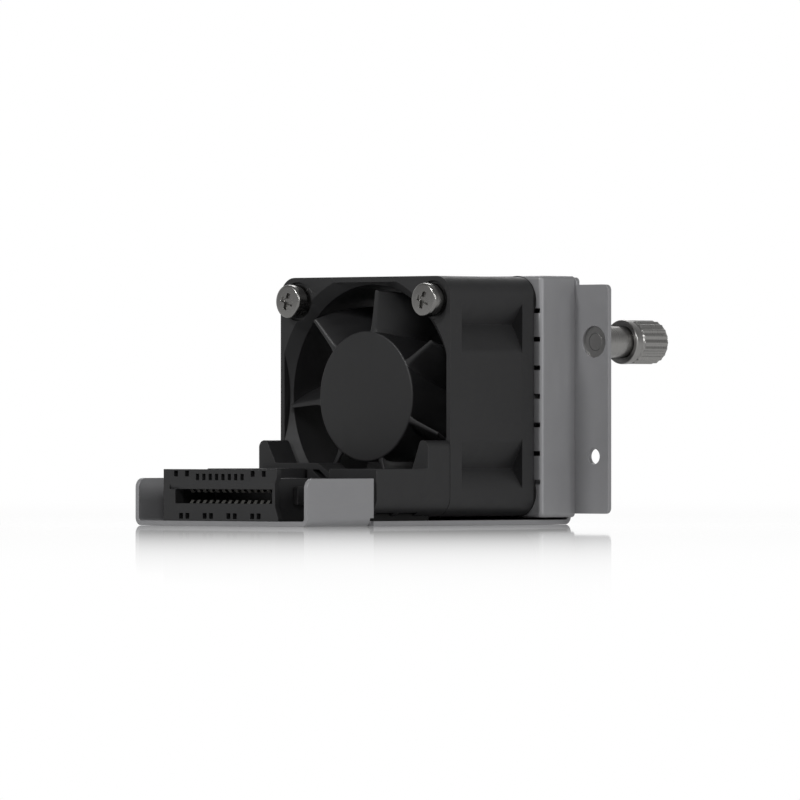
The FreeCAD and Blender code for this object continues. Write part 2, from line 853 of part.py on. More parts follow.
def make_rotor_inside():
    yoke = new_body("rotor_yoke")
    turned(yoke, [
        ("hub_front + hub_cap", "boss_radius + running_gap"), ("hub_front + hub_cap", "yoke_radius"),
        ("hub_back - sheet", "yoke_radius"), ("hub_back - sheet", "magnet_radius"),
        ("hub_front + hub_cap + yoke_wall", "magnet_radius"),
        ("hub_front + hub_cap + yoke_wall", "boss_radius + running_gap"),
    ])
    place(yoke, "0", "0", "fan_mid")
    keep(yoke)
    keep(ring("magnet_ring", "magnet_front", "magnet_back", "magnet_inner", "magnet_radius"))
    shaft = new_body("rotor_shaft")
    turned(shaft, [
        ("shaft_front", "0"), ("shaft_front", "shaft_radius"), ("shaft_back", "shaft_radius"),
        ("shaft_back", "0"),
    ])
    grooved(shaft, [
        ("clip_front", "clip_inner"), ("clip_front", "shaft_radius + sheet"),
        ("clip_front + clip_thick + running_gap", "shaft_radius + sheet"),
        ("clip_front + clip_thick + running_gap", "clip_inner"),
    ])
    bevelled(shaft, "shaft_bevel", lambda e, m: near(m.x, value("shaft_back")))
    place(shaft, "0", "0", "fan_mid")
    keep(shaft)
    clip = ring("retaining_clip", "clip_front", "clip_front + clip_thick", "clip_inner", "clip_outer")
    gap = new_sketch(clip, "YZ", "clip_front - clip_thick")
    rectangle(gap, "-clip_gap", "clip_gap", "0", "clip_outer + clip_thick")
    cut(clip, gap, "3*clip_thick")
    keep(clip)


def make_stator():
    tube = new_body("bearing_tube")
    turned(tube, [
        ("tube_front", "bearing_radius"), ("tube_front", "tube_radius"),
        ("tube_back", "tube_radius"), ("tube_back", "bearing_radius"),
    ])
    place(tube, "0", "0", "fan_mid")
    keep(tube)
    for label, front in (("front_bearing", "bearing_front"), ("rear_bearing", "bearing_rear")):
        body = new_body(label)
        turned(body, [
            (front, "shaft_radius + running_gap"), (front + " + bearing_wide", "shaft_radius + running_gap"),
            (front + " + bearing_wide", "bearing_radius"), (front, "bearing_radius"),
        ])
        grooved(body, [
            (front + " - sheet", "shield_inner"), (front + " + shield_deep", "shield_inner"),
            (front + " + shield_deep", "shield_outer"), (front + " - sheet", "shield_outer"),
        ])
        grooved(body, [
            (front + " + bearing_wide - shield_deep", "shield_inner"),
            (front + " + bearing_wide + sheet", "shield_inner"),
            (front + " + bearing_wide + sheet", "shield_outer"),
            (front + " + bearing_wide - shield_deep", "shield_outer"),
        ])
        place(body, "0", "0", "fan_mid")
        keep(body)
    spacer = ring("bearing_spacer", "bearing_front + bearing_wide", "bearing_rear",
                  "spacer_inner", "bearing_radius - running_gap")
    keep(spacer)
    core = new_body("stator_core")
    hub = new_sketch(core, "YZ", "core_front")
    disc(hub, "core_hub")
    grow(core, hub, "core_back - core_front")
    tooth = new_sketch(core, "YZ", "core_front")
    rectangle(tooth, "0", "core_radius - shoe_thick/2", "-tooth_wide/2", "tooth_wide/2")
    first = grow(core, tooth, "core_back - core_front")
    shoe = pole_shoe(core)
    polar(core, [first, shoe], 4)
    eye = new_sketch(core, "YZ", "core_front")
    disc(eye, "tube_radius")
    cut(core, eye, "core_back - core_front")
    place(core, "0", "0", "fan_mid")
    keep(core)
    for label, front in (("front_bobbin", "core_front - bobbin"), ("rear_bobbin", "core_back")):
        body = new_body(label)
        plate = new_sketch(body, "YZ", front)
        disc(plate, "core_hub")
        grow(body, plate, "bobbin")
        arm = new_sketch(body, "YZ", front)
        rectangle(arm, "0", "bobbin_reach", "-tooth_wide/2 - bobbin", "tooth_wide/2 + bobbin")
        first = grow(body, arm, "bobbin")
        polar(body, [first], 4)
        hole = new_sketch(body, "YZ", front)
        disc(hole, "tube_radius")
        cut(body, hole, "bobbin")
        place(body, "0", "0", "fan_mid")
        keep(body)
    for index in range(4):
        coil = new_body("coil_%d" % (index + 1))
        loop = new_sketch(coil, "YZ", "core_front - bobbin - coil_swell")
        rectangle(loop, "coil_root", "coil_root + coil_high", "-coil_half", "coil_half")
        grow(coil, loop, "core_back - core_front + 2*bobbin + 2*coil_swell")
        rounded(coil, "coil_round", lambda e, m: along(e, "y"))
        window = new_sketch(coil, "YZ", "core_front - bobbin")
        rectangle(window, "coil_root", "coil_root + coil_high",
                  "-tooth_wide/2 - bobbin", "tooth_wide/2 + bobbin")
        cut(coil, window, "core_back - core_front + 2*bobbin")
        coil.Placement.Rotation = FreeCAD.Rotation(FreeCAD.Vector(1, 0, 0), 90 * index)
        place(coil, "0", "0", "fan_mid")
        keep(coil)
    board = ring("motor_board", "board_front", "board_front + board_thick",
                 "tube_radius + running_gap", "board_radius")
    keep(board)
    for label, across, up, wide, high, tall in (
        ("drive_chip", "-chip_out", "-chip_wide/2", "chip_wide", "chip_wide", "chip_tall"),
        ("hall_sensor", "hall_out", "-chip_tall", "hall_wide", "2*chip_tall", "chip_tall"),
    ):
        chip = new_body(label)
        area = new_sketch(chip, "YZ", "board_front + board_thick")
        rectangle(area, across, across + " + " + wide, up, up + " + " + high)
        grow(chip, area, tall)
        place(chip, "0", "0", "fan_mid")
        keep(chip)


def pole_shoe(core):
    """Curved pole shoe at the end of one tooth, as a ring sector."""
    sketch = new_sketch(core, "YZ", "core_front")
    inner, outer = value("core_radius - shoe_thick"), value("core_radius")
    half = math.radians(value("shoe_half_angle"))
    centre, up = FreeCAD.Vector(0, 0, 0), FreeCAD.Vector(0, 0, 1)
    arcs = [
        sketch.addGeometry(Part.ArcOfCircle(Part.Circle(centre, up, radius), -half, half), False)
        for radius in (inner, outer)
    ]
    ends = []
    for sign in (-1, 1):
        turn = FreeCAD.Vector(math.cos(sign * half), math.sin(sign * half), 0)
        ends.append(sketch.addGeometry(Part.LineSegment(turn * inner, turn * outer), False))
    add = sketch.addConstraint
    for arc, radius in zip(arcs, ("core_radius - shoe_thick", "core_radius")):
        add(Sketcher.Constraint("Coincident", arc, 3, -1, 1))
        index = add(Sketcher.Constraint("Radius", arc, value(radius)))
        tie(sketch, "Constraints[%d]" % index, radius)
    for end, which in zip(ends, (1, 2)):
        add(Sketcher.Constraint("Coincident", end, 1, arcs[0], which))
        add(Sketcher.Constraint("Coincident", end, 2, arcs[1], which))
    return grow(core, sketch, "core_back - core_front")


# Moulded carrier that cradles the lower half of the fan and holds the connector.
def make_carrier():
    body = new_body("carrier")
    wall = new_sketch(body, "YZ", "-ear_wall")
    outline(wall, [
        ("-carrier_half", "fan_low"), ("carrier_half", "fan_low"), ("carrier_half", "ear_crest"),
        ("u_top_half", "ear_crest"), ("arch_near", "arch_top"), ("arch_far", "arch_top"),
        ("arch_foot", "u_low"), ("-u_low_half", "u_low"), ("-u_top_half", "ear_crest"),
        ("-carrier_half", "ear_crest"),
    ])
    grow(body, wall, "ear_wall")
    for left, right in (("-carrier_half", "-block_inner"), ("block_inner", "carrier_half")):
        block = new_sketch(body, "YZ", "-carrier_front")
        rectangle(block, left, right, "fan_low", "carrier_top")
        grow(body, block, "carrier_front - ear_wall/2")
    floor = new_sketch(body, "XY", "fan_low")
    rectangle(floor, "-floor_front", "-ear_wall/2", "-block_inner - core_wall", "block_inner + core_wall")
    grow(body, floor, "carrier_floor")
    rounded(body, "fan_corner", lambda e, m: along(e, "x") and near(m.z, value("fan_low"))
            and near(abs(m.y), value("carrier_half")))
    rounded(body, "crest_round", lambda e, m: along(e, "x") and near(m.z, value("ear_crest"))
            and near(abs(m.y), value("carrier_half")))
    rounded(body, "crest_round/2", lambda e, m: along(e, "x") and near(m.z, value("ear_crest"))
            and near(abs(m.y), value("u_top_half")))
    rounded(body, "arch_high", lambda e, m: along(e, "x") and near(m.z, value("arch_top"))
            and near(m.y, value("arch_far")))
    windows = new_sketch(body, "YZ", "-ear_wall")
    rectangle(windows, "window_post", "window_near", "window_low", "arch_top - arch_high")
    outline(windows, [
        ("window_post_low", "window_low"), ("window_tip_low", "window_low"),
        ("window_tip", "arch_top - arch_high"), ("window_post_far", "arch_top - arch_high"),
    ])
    cut(body, windows, "ear_wall")
    for left, right in (
        ("-carrier_half + core_wall", "-block_inner - core_wall"),
        ("block_inner + core_wall", "carrier_half - core_wall"),
    ):
        cores = new_sketch(body, "XY", "fan_low")
        for back in ("-carrier_front + core_wall", "-ear_wall - core_wall - core_long"):
            rectangle(cores, back, back + " + core_long", left, right)
        cut(body, cores, "core_top - fan_low")
    for start in ("-waist - running_gap - arm_wide", "waist + running_gap"):
        arm = new_sketch(body, "XZ", start)
        rectangle(arm, "-arm_front", "-carrier_front + arm_root", "arm_low", "arm_high")
        grow(body, arm, "arm_wide")
    bosses = new_sketch(body, "XY", "fan_low")
    feet = new_sketch(body, "XY", "sheet")
    shafts = new_sketch(body, "XY", "sheet")
    for mark in ("-", ""):
        disc(bosses, "foot_radius", "-base_screw_back", mark + "base_screw_side")
        disc(feet, "foot_radius", "-base_screw_back", mark + "base_screw_side")
        disc(shafts, "base_screw_shank + running_gap", "-base_screw_back", mark + "base_screw_side")
    grow(body, bosses, "base_screw_top - fan_low + core_wall")
    grow(body, feet, "fan_low - sheet")
    cut(body, shafts, "base_screw_top - sheet")
    pegs = new_sketch(body, "YZ", "-running_gap")
    for mark in ("-", ""):
        disc(pegs, "peg_radius", mark + "hole_pitch_half", "fan_mid - hole_pitch_half")
    grow(body, pegs, "peg_long")
    return keep(body)


# Card edge connector housing: flared sides, a wide slot and rows of small holes.
def make_connector():
    body = new_body("connector_housing")
    profile = new_sketch(body, "YZ", "-plug_front")
    outline(profile, [
        ("-plug_half", "plug_low"), ("plug_half", "plug_low"), ("plug_half", "flare_low"),
        ("waist", "waist_low"), ("waist", "waist_high"), ("plug_half", "flare_high"),
        ("plug_half", "plug_high"), ("-plug_half", "plug_high"), ("-plug_half", "flare_high"),
        ("-waist", "waist_high"), ("-waist", "waist_low"), ("-plug_half", "flare_low"),
    ])
    grow(body, profile, "plug_front - plug_back")
    slot = new_sketch(body, "YZ", "-plug_front")
    rectangle(slot, "-slot_half", "slot_half", "slot_low", "slot_high")
    cut(body, slot, "slot_lip")
    cavity = new_sketch(body, "YZ", "-plug_front + slot_lip")
    rectangle(cavity, "-cavity_half", "cavity_half", "cavity_low", "cavity_high")
    cut(body, cavity, "plug_front - slot_lip - cavity_back")
    bevel = new_sketch(body, "XZ", "-bevel_half")
    outline(bevel, [
        ("-plug_front", "slot_high"), ("-plug_front + slot_lead", "slot_high"),
        ("-plug_front", "slot_high + slot_bevel"),
    ])
    cut(body, bevel, "2*bevel_half")
    small = new_sketch(body, "YZ", "-plug_front")
    for step in range(8):
        middle = "hole_shift + %s*contact_pitch" % (step - 3.5) if step > 3 else \
            "hole_shift - %s*contact_pitch" % (3.5 - step)
        rectangle(small, middle + " - front_hole/2", middle + " + front_hole/2",
                  "slot_row", "slot_row + slot_row_high")
    for middle in ("hole_shift + square_near", "hole_shift + square_far",
                   "hole_shift - square_near", "hole_shift - square_far"):
        rectangle(small, middle + " - square_hole/2", middle + " + square_hole/2",
                  "square_row", "square_row + square_hole")
    for step in range(4):
        middle = "hole_shift + %s*pair_pitch" % (step - 1.5) if step > 1 else \
            "hole_shift - %s*pair_pitch" % (1.5 - step)
        for side in (" - ", " + "):
            spot = middle + side + "contact_pitch/2"
            rectangle(small, spot + " - front_hole/2", spot + " + front_hole/2",
                      "pair_row", "pair_row + square_hole")
    cut(body, small, "front_hole_deep")
    wires = new_sketch(body, "YZ", "-plug_back - wire_hole_deep")
    for step in range(6):
        middle = "%s*pair_pitch*2/3" % (step - 2.5) if step > 2 else \
            "-%s*pair_pitch*2/3" % (2.5 - step)
        for low in ("cavity_low", "cavity_high - wire_hole - contact_wide"):
            rectangle(wires, middle + " - wire_hole/2", middle + " + wire_hole/2",
                      low, low + " + wire_hole")
    cut(body, wires, "wire_hole_deep")
    keep(body)
    for label, sign in (("contacts_upper", 1), ("contacts_lower", -1)):
        keep(contact_row(label, sign))


def contact_row(label, sign):
    """Row of bowed contact springs that stand on the cavity's back wall."""
    body = new_body(label)
    middle = "slot_low/2 + slot_high/2"
    mark = " + " if sign > 0 else " - "
    bow = new_sketch(body, "XZ", "-contact_first - contact_wide/2")
    outline(bow, [
        ("-cavity_back", middle + mark + "contact_root"),
        ("-cavity_back", middle + mark + "contact_root" + mark + "contact_thick"),
        ("-cavity_back - contact_straight", middle + mark + "contact_root" + mark + "contact_thick"),
        ("-cavity_back - contact_bow", middle + mark + "contact_tip" + mark + "contact_thick"),
        ("-cavity_back - contact_long", middle + mark + "contact_root" + mark + "contact_thick/2"),
        ("-cavity_back - contact_long", middle + mark + "contact_root" + mark.replace(
            "+", "*").replace("-", "+").replace("*", "-") + "contact_thick/2"),
        ("-cavity_back - contact_bow", middle + mark + "contact_tip"),
        ("-cavity_back - contact_straight", middle + mark + "contact_root"),
    ])
    first = grow(body, bow, "contact_wide")
    pattern = body.newObject("PartDesign::LinearPattern", label + "_row")
    pattern.Originals = [first]
    for feature in body.Origin.OriginFeatures:
        if feature.Role == "Y_Axis":
            pattern.Direction = (feature, [""])
    pattern.Reversed = True
    tie(pattern, "Length", "2*contact_first")
    pattern.Occurrences = int(value("contact_count"))
    body.Tip = pattern
    doc.recompute()
    return body


# Fasteners that share one form are turned about their own axis and placed.
def pan_screw(label, front, back, across, up):
    body = new_body(label)
    turned(body, [
        ("-head_high", "0"), ("-head_high", "head_radius - head_slope"),
        ("-head_high + head_slope", "head_radius"), ("0", "head_radius"), ("0", "screw_radius"),
        (back + " - " + front, "screw_radius"), (back + " - " + front, "0"),
    ])
    rounded(body, "head_slope/2", lambda e, m: near(m.x, value("head_slope - head_high")))
    cross = new_sketch(body, "YZ", "-head_high")
    outline(cross, plus_shape("cross_half", "cross_wide/2"))
    cut(body, cross, "cross_deep")
    place(body, front, across, up)
    return keep(body)


def plus_shape(half, arm):
    """Corners of a plus sign, as used for a cross recess."""
    return [
        ("-" + arm, "-" + half), (arm, "-" + half), (arm, "-" + arm), (half, "-" + arm),
        (half, arm), (arm, arm), (arm, half), ("-" + arm, half), ("-" + arm, arm),
        ("-" + half, arm), ("-" + half, "-" + arm), ("-" + arm, "-" + arm),
    ]


def hex_nut(label, across, up):
    nut = new_body(label)
    shape = new_sketch(nut, "YZ")
    radius = value("nut_radius") / math.cos(math.radians(30))
    corners = [
        FreeCAD.Vector(
            radius * math.cos(math.radians(60 * k)), radius * math.sin(math.radians(60 * k)), 0
        ) for k in range(6)
    ]
    for k in range(6):
        shape.addGeometry(Part.LineSegment(corners[k], corners[(k + 1) % 6]), False)
    for k in range(6):
        shape.addConstraint(Sketcher.Constraint("Coincident", k, 2, (k + 1) % 6, 1))
    grow(nut, shape, "nut_high")
    hole = new_sketch(nut, "YZ")
    disc(hole, "screw_radius + running_gap")
    cut(nut, hole, "nut_high")
    place(nut, "vent_plate", across, up)
    return keep(nut)


def make_fasteners():
    top = "fan_mid + hole_pitch_half"
    for index, mark in enumerate(("-", ""), 1):
        pan_screw("fan_screw_%d" % index, "spot_depth", "screw_end", mark + "hole_pitch_half", top)
        hex_nut("fan_nut_%d" % index, mark + "hole_pitch_half", top)
    count = 0
    for up in ("fan_mid + hole_pitch_half", "fan_mid - hole_pitch_half"):
        for mark in ("-", ""):
            count += 1
            pad = new_body("isolator_%d" % count)
            disc_sketch = new_sketch(pad, "YZ", "fan_depth")
            disc(disc_sketch, "isolator_radius", mark + "hole_pitch_half", up)
            grow(pad, disc_sketch, "isolator")
            airway = new_sketch(pad, "YZ", "fan_depth")
            disc(airway, "vent_mouth", "0", "fan_mid")
            cut(pad, airway, "isolator")
            if up.endswith("+ hole_pitch_half"):
                eye = new_sketch(pad, "YZ", "fan_depth")
                disc(eye, "hole_radius", mark + "hole_pitch_half", up)
                cut(pad, eye, "isolator")
            else:
                stem = new_sketch(pad, "YZ", "fan_depth - flange")
                disc(stem, "peg_radius", mark + "hole_pitch_half", up)
                grow(pad, stem, "flange + isolator + sheet + press_gap")
                bulb = new_sketch(pad, "YZ", "vent_plate + press_gap")
                disc(bulb, "bulb_radius", mark + "hole_pitch_half", up)
                last = grow(pad, bulb, "bulb_high")
                bevelled(pad, "bulb_radius - peg_radius",
                         lambda e, m: near(m.x, value("vent_plate + press_gap + bulb_high")))
            keep(pad)
    count = 0
    for rise in ("fan_mid + rivet_rise", "fan_mid - rivet_rise"):
        for mark in ("-", ""):
            count += 1
            rivet = new_body("rivet_%d" % count)
            turned(rivet, [
                ("-sheet - rivet_tail", "0"), ("-sheet - rivet_tail", "rivet_head - rivet_tail"),
                ("-sheet", "rivet_head - press_gap"), ("-sheet", "rivet_radius - press_gap"),
                ("sheet", "rivet_radius - press_gap"), ("sheet", "rivet_head"),
                ("sheet + rivet_tail/2", "rivet_head"), ("sheet + rivet_tail", "rivet_head - rivet_tail"),
                ("sheet + rivet_tail", "0"),
            ])
            place(rivet, "plate_near", mark + "rivet_side", rise)
            keep(rivet)
    for index, mark in enumerate(("-", ""), 1):
        screw = new_body("base_screw_%d" % index)
        head = new_sketch(screw, "XY")
        disc(head, "base_screw_head")
        grow(screw, head, "base_screw_sink")
        shank = new_sketch(screw, "XY")
        disc(shank, "base_screw_shank")
        grow(screw, shank, "base_screw_top - sheet/2")
        cross = new_sketch(screw, "XY")
        outline(cross, plus_shape("cross_half", "cross_wide/2"))
        cut(screw, cross, "base_screw_sink - running_gap")
        place(screw, "-base_screw_back", mark + "base_screw_side", "0")
        keep(screw)


# Captive thumbscrew in the ear: pressed sleeve, spring, sliding ring, knob and screw.
def make_thumbscrew():
    spot = ("0", "-thumb_out", "thumb_rise")
    sleeve = new_body("screw_sleeve")
    turned(sleeve, [
        ("plate_near + recess", "thread_radius + running_gap"),
        ("plate_near + recess", "sleeve_radius - press_gap"),
        ("sleeve_end - flange_thick", "sleeve_radius - press_gap"),
        ("sleeve_end - flange_thick", "sleeve_flange"), ("sleeve_end", "sleeve_flange"),
        ("sleeve_end", "sleeve_bore"), ("plate_near + recess + sleeve_floor", "sleeve_bore"),
        ("plate_near + recess + sleeve_floor", "thread_radius + running_gap"),
    ])
    place(sleeve, *spot)
    keep(sleeve)
    snap = new_body("knob_ring")
    turned(snap, [
        ("knob_mouth + groove_front + running_gap", "lip_radius"),
        ("knob_mouth + groove_front + running_gap + ring_thick", "lip_radius"),
        ("knob_mouth + groove_front + running_gap + ring_thick", "ring_radius"),
        ("knob_mouth + groove_front + running_gap", "ring_radius"),
    ])
    place(snap, *spot)
    keep(snap)
    knob = new_body("thumb_knob")
    turned(knob, [
        ("knob_mouth", "mouth_bore"), ("knob_mouth", "knob_radius - mouth_round"),
        ("knob_mouth + mouth_round", "knob_radius"), ("knurl_start - knurl_step", "knob_radius"),
        ("knurl_start - knurl_step", "knurl_groove"), ("knurl_start", "knurl_groove"),
        ("knurl_start", "knob_radius"), ("knob_end - knurl_deep", "knob_radius"),
        ("knob_end", "knob_radius - knurl_deep"), ("knob_end", "screw_cap + press_gap"),
        ("knob_end - knob_cap", "screw_cap + press_gap"), ("knob_end - knob_cap", "knob_bore"),
        ("knob_mouth + groove_front + ring_thick + 2*running_gap", "knob_bore"),
        ("knob_mouth + groove_front + ring_thick + 2*running_gap", "ring_radius + running_gap"),
        ("knob_mouth + groove_front", "ring_radius + running_gap"),
        ("knob_mouth + groove_front", "mouth_bore"),
    ])
    flute = new_sketch(knob, "YZ", "knurl_start")
    rectangle(flute, "knob_radius - knurl_deep", "knob_radius + knurl_deep", "-flute_half", "flute_half")
    first = cut(knob, flute, "knob_end - knurl_start")
    polar(knob, [first], value("knurl_count"))
    place(knob, *spot)
    keep(knob)
    screw = new_body("captive_screw")
    turned(screw, [
        ("plate_near + recess", "0"), ("plate_near + recess", "thread_radius - press_gap"),
        ("plate_near + recess + press_gap", "thread_radius"),
        ("knob_end - knob_cap", "thread_radius"), ("knob_end - knob_cap", "screw_cap"),
        ("knob_end", "screw_cap"), ("knob_end", "0"),
    ])
    cross = new_sketch(screw, "YZ", "knob_end - cross_deep")
    outline(cross, plus_shape("cross_half", "cross_wide/2"))
    cut(screw, cross, "cross_deep")
    place(screw, *spot)
    keep(screw)
    keep(make_spring(spot))


def make_spring(spot):
    """Round wire wound about the screw, from the sleeve's floor to the knob's cap."""
    start = value("plate_near + recess + sleeve_floor + spring_wire + running_gap")
    end = value("knob_end - knob_cap - spring_wire - running_gap")
    radius, wire = value("spring_radius"), value("spring_wire")
    height = end - start
    turns = value("spring_turns")
    path = Part.makeHelix(height / turns, height, radius)
    slope = math.atan2(height / turns, 2 * math.pi * radius)
    face = Part.Wire([Part.makeCircle(
        wire, FreeCAD.Vector(radius, 0, 0),
        FreeCAD.Vector(0, math.cos(slope), math.sin(slope))
    )])
    coil = Part.Wire(path.Edges).makePipeShell([face], True, True)
    coil.rotate(FreeCAD.Vector(0, 0, 0), FreeCAD.Vector(0, 1, 0), 90)
    coil.translate(FreeCAD.Vector(start, 0, 0))
    spring = doc.addObject("Part::Feature", "thumb_spring")
    spring.Shape = coil
    spring.Label = "thumb_spring"
    place(spring, *spot)
    return spring


make_tray()
make_vent_frame()
make_fan_frame()
make_impeller()
make_rotor_inside()
make_stator()
make_carrier()
make_connector()
make_fasteners()
make_thumbscrew()
doc.recompute()

for thing in doc.Objects:
    if "Invalid" in thing.State or "Error" in thing.State:
        raise RuntimeError("feature failed: " + thing.Label + " " + str(thing.State))

os.makedirs("parts", exist_ok=True)
for node in NODES:
    shape = node.Shape
    if shape.isNull() or not shape.isValid() or not shape.Solids:
        raise RuntimeError("no valid solid for " + node.Label)
    shape.exportStep(os.path.join("parts", node.Label + ".step"))
    box = shape.BoundBox
    print("%-20s solids %2d  x %7.2f %7.2f  y %7.2f %7.2f  z %6.2f %6.2f" % (
        node.Label, len(shape.Solids), box.XMin, box.XMax, box.YMin, box.YMax, box.ZMin, box.ZMax
    ))
print(len(NODES), "nodes")
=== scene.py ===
import json
import math
import bmesh
import bpy
import numpy as np
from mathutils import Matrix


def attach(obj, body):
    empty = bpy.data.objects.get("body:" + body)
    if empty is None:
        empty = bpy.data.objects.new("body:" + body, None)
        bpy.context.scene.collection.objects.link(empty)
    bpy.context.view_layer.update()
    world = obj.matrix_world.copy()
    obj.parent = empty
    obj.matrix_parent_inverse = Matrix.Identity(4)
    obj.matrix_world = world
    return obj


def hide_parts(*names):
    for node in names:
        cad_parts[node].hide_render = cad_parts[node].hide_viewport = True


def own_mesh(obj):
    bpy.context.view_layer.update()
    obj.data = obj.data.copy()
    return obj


# Hot swap fan module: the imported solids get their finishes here, and the pieces whose
# surface is finer than a solid can carry are made as numpy surfaces.
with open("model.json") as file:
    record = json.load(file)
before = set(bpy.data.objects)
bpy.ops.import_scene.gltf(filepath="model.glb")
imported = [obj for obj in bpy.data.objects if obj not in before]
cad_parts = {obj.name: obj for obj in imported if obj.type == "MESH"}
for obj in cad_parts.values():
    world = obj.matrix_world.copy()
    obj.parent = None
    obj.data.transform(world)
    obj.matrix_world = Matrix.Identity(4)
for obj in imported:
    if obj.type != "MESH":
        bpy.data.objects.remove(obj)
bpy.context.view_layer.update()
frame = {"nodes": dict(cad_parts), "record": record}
print("frame loaded:", len(frame["nodes"]), "nodes")

mm = 0.001
close = 0.01   # mm, for finding the points on a plane
scene = bpy.context.scene
scene.view_settings.view_transform = "Standard"

# The photograph's level view through a very long lens, and a pale studio with soft lamps
viewSettings = {
    "place": (-1.20589, -1.19828, 0.0160),   # metres, on the photograph's sight line
    "turn": -45.38,                          # degrees about Z
    "lens": 457.3,                           # mm on a 36 mm sensor
    "shiftUp": 0.0362,                       # horizon a little below the middle
}
lightSettings = {
    "seen": 1.0,             # backdrop for the camera and through clear pieces
    "level": 0.12,           # even light from all round
    "mirrorBack": 1.0,       # what gloss shows of the white backdrop behind the object
    "mirrorFront": 0.42,     # and of the studio in front of it
    "mirrorHigh": 0.5,       # share of either that is left overhead
    "mirrorRise": 0.5,       # sine of the height where it has fallen to that
    "lamps": {               # place in metres, size, watts
        "left": ((-0.90, 0.09, 0.60), 0.14, 4.4),
        "front": ((-0.80, -0.80, 0.60), 0.3, 3.3),
        "right": ((0.10, -0.95, 0.30), 0.4, 2.6),
        "behind": ((0.50, 0.50, 0.60), 0.4, 1.5),
    },
}


def addCamera(settings):
    data = bpy.data.cameras.new("viewCamera")
    data.sensor_width = 36.0
    data.lens = settings["lens"]
    data.shift_y = settings["shiftUp"]
    data.clip_start = 0.05
    data.clip_end = 20.0
    camera = bpy.data.objects.new("viewCamera", data)
    camera.location = settings["place"]
    camera.rotation_euler = (math.radians(90), 0, math.radians(settings["turn"]))
    scene.collection.objects.link(camera)
    scene.camera = camera


def addLamp(name, place, size, power):   # a disc lamp that looks at the object
    data = bpy.data.lights.new(name, "AREA")
    data.shape = "DISK"
    data.size = size
    data.energy = power
    lamp = bpy.data.objects.new(name, data)
    lamp.location = place
    aim = np.array((0.0, 0.0, 0.02)) - np.array(place)
    flat = math.hypot(aim[0], aim[1])
    lamp.rotation_euler = (math.atan2(flat, -aim[2]), 0, math.atan2(aim[1], aim[0]) - math.pi / 2)
    scene.collection.objects.link(lamp)


# sRGB hex to linear: a channel under 0.04045 is divided by 12.92, any other is
# ((c + 0.055) / 1.055) to the power 2.4
def toLinear(hexText):
    channels = [int(hexText[k:k + 2], 16) / 255 for k in (1, 3, 5)]
    return [c / 12.92 if c < 0.04045 else ((c + 0.055) / 1.055) ** 2.4 for c in channels] + [1.0]


def addNode(tree, kind, settings=None, links=None):   # settings are properties or socket values
    node = tree.nodes.new(kind)
    for name, setting in (settings or {}).items():
        if isinstance(name, str) and hasattr(node, name):
            setattr(node, name, setting)
        else:
            node.inputs[name].default_value = setting
    for name, source in (links or {}).items():
        tree.links.new(source, node.inputs[name])
    return node


def newMaterial(name):
    material = bpy.data.materials.new(name)
    material.use_nodes = True
    material.node_tree.nodes.clear()
    return material, material.node_tree


def finishMaterial(material, tree, shader):
    addNode(tree, "ShaderNodeOutputMaterial", None, {"Surface": shader.outputs[0]})
    return material


# Colour drifts by a cloud pattern, a fine grain drives roughness and bump, faint flow or
# tool marks run along one axis, and the edges catch light over edgeMm
def surfaceMaterial(name, look):
    material, tree = newMaterial(name)
    place = addNode(tree, "ShaderNodeTexCoord").outputs["Object"]
    mapped = addNode(tree, "ShaderNodeMapping", {"Scale": look.get("stretch", (1, 1, 1))},
                     {"Vector": place}).outputs[0]
    clouds = addNode(tree, "ShaderNodeTexNoise", {
        "Scale": 1 / (look["cloudMm"] * mm), "Detail": 4.0, "Roughness": 0.6}, {"Vector": place})
    grain = addNode(tree, "ShaderNodeTexNoise", {
        "Scale": 1 / (look["grainMm"] * mm), "Detail": 2.0, "Roughness": 0.6}, {"Vector": mapped})
    marks = addNode(tree, "ShaderNodeTexNoise", {
        "Scale": 1 / (look.get("markMm", 1.5) * mm), "Detail": 2.0, "Distortion": 0.4},
        {"Vector": mapped})
    tint = addNode(tree, "ShaderNodeMixRGB", {
        "Color1": toLinear(look["dark"]), "Color2": toLinear(look["light"])},
        {"Fac": clouds.outputs[0]})
    rough = addNode(tree, "ShaderNodeMapRange", {
        "From Min": 0.3, "From Max": 0.7, "To Min": look["rough"] - look["roughDrift"],
        "To Max": look["rough"] + look["roughDrift"]}, {"Value": marks.outputs[0]})
    bump = addNode(tree, "ShaderNodeBump", {
        "Strength": look["bump"], "Distance": look["bumpMm"] * mm}, {"Height": grain.outputs[0]})
    waves = addNode(tree, "ShaderNodeBump", {
        "Strength": look["bump"], "Distance": look.get("waveMm", 0.01) * mm},
        {"Height": marks.outputs[0], "Normal": bump.outputs[0]})
    if look.get("edgeMm"):
        soft = addNode(tree, "ShaderNodeBevel", {"samples": 4, "Radius": look["edgeMm"] * mm})
        tree.links.new(soft.outputs[0], bump.inputs["Normal"])
    shader = addNode(tree, "ShaderNodeBsdfPrincipled", {
        "Metallic": look.get("metallic", 0.0), "Specular IOR Level": look.get("specular", 0.5),
        "Coat Weight": look.get("coat", 0.0)},
        {"Base Color": tint.outputs[0], "Roughness": rough.outputs[0], "Normal": waves.outputs[0]})
    return finishMaterial(material, tree, shader)


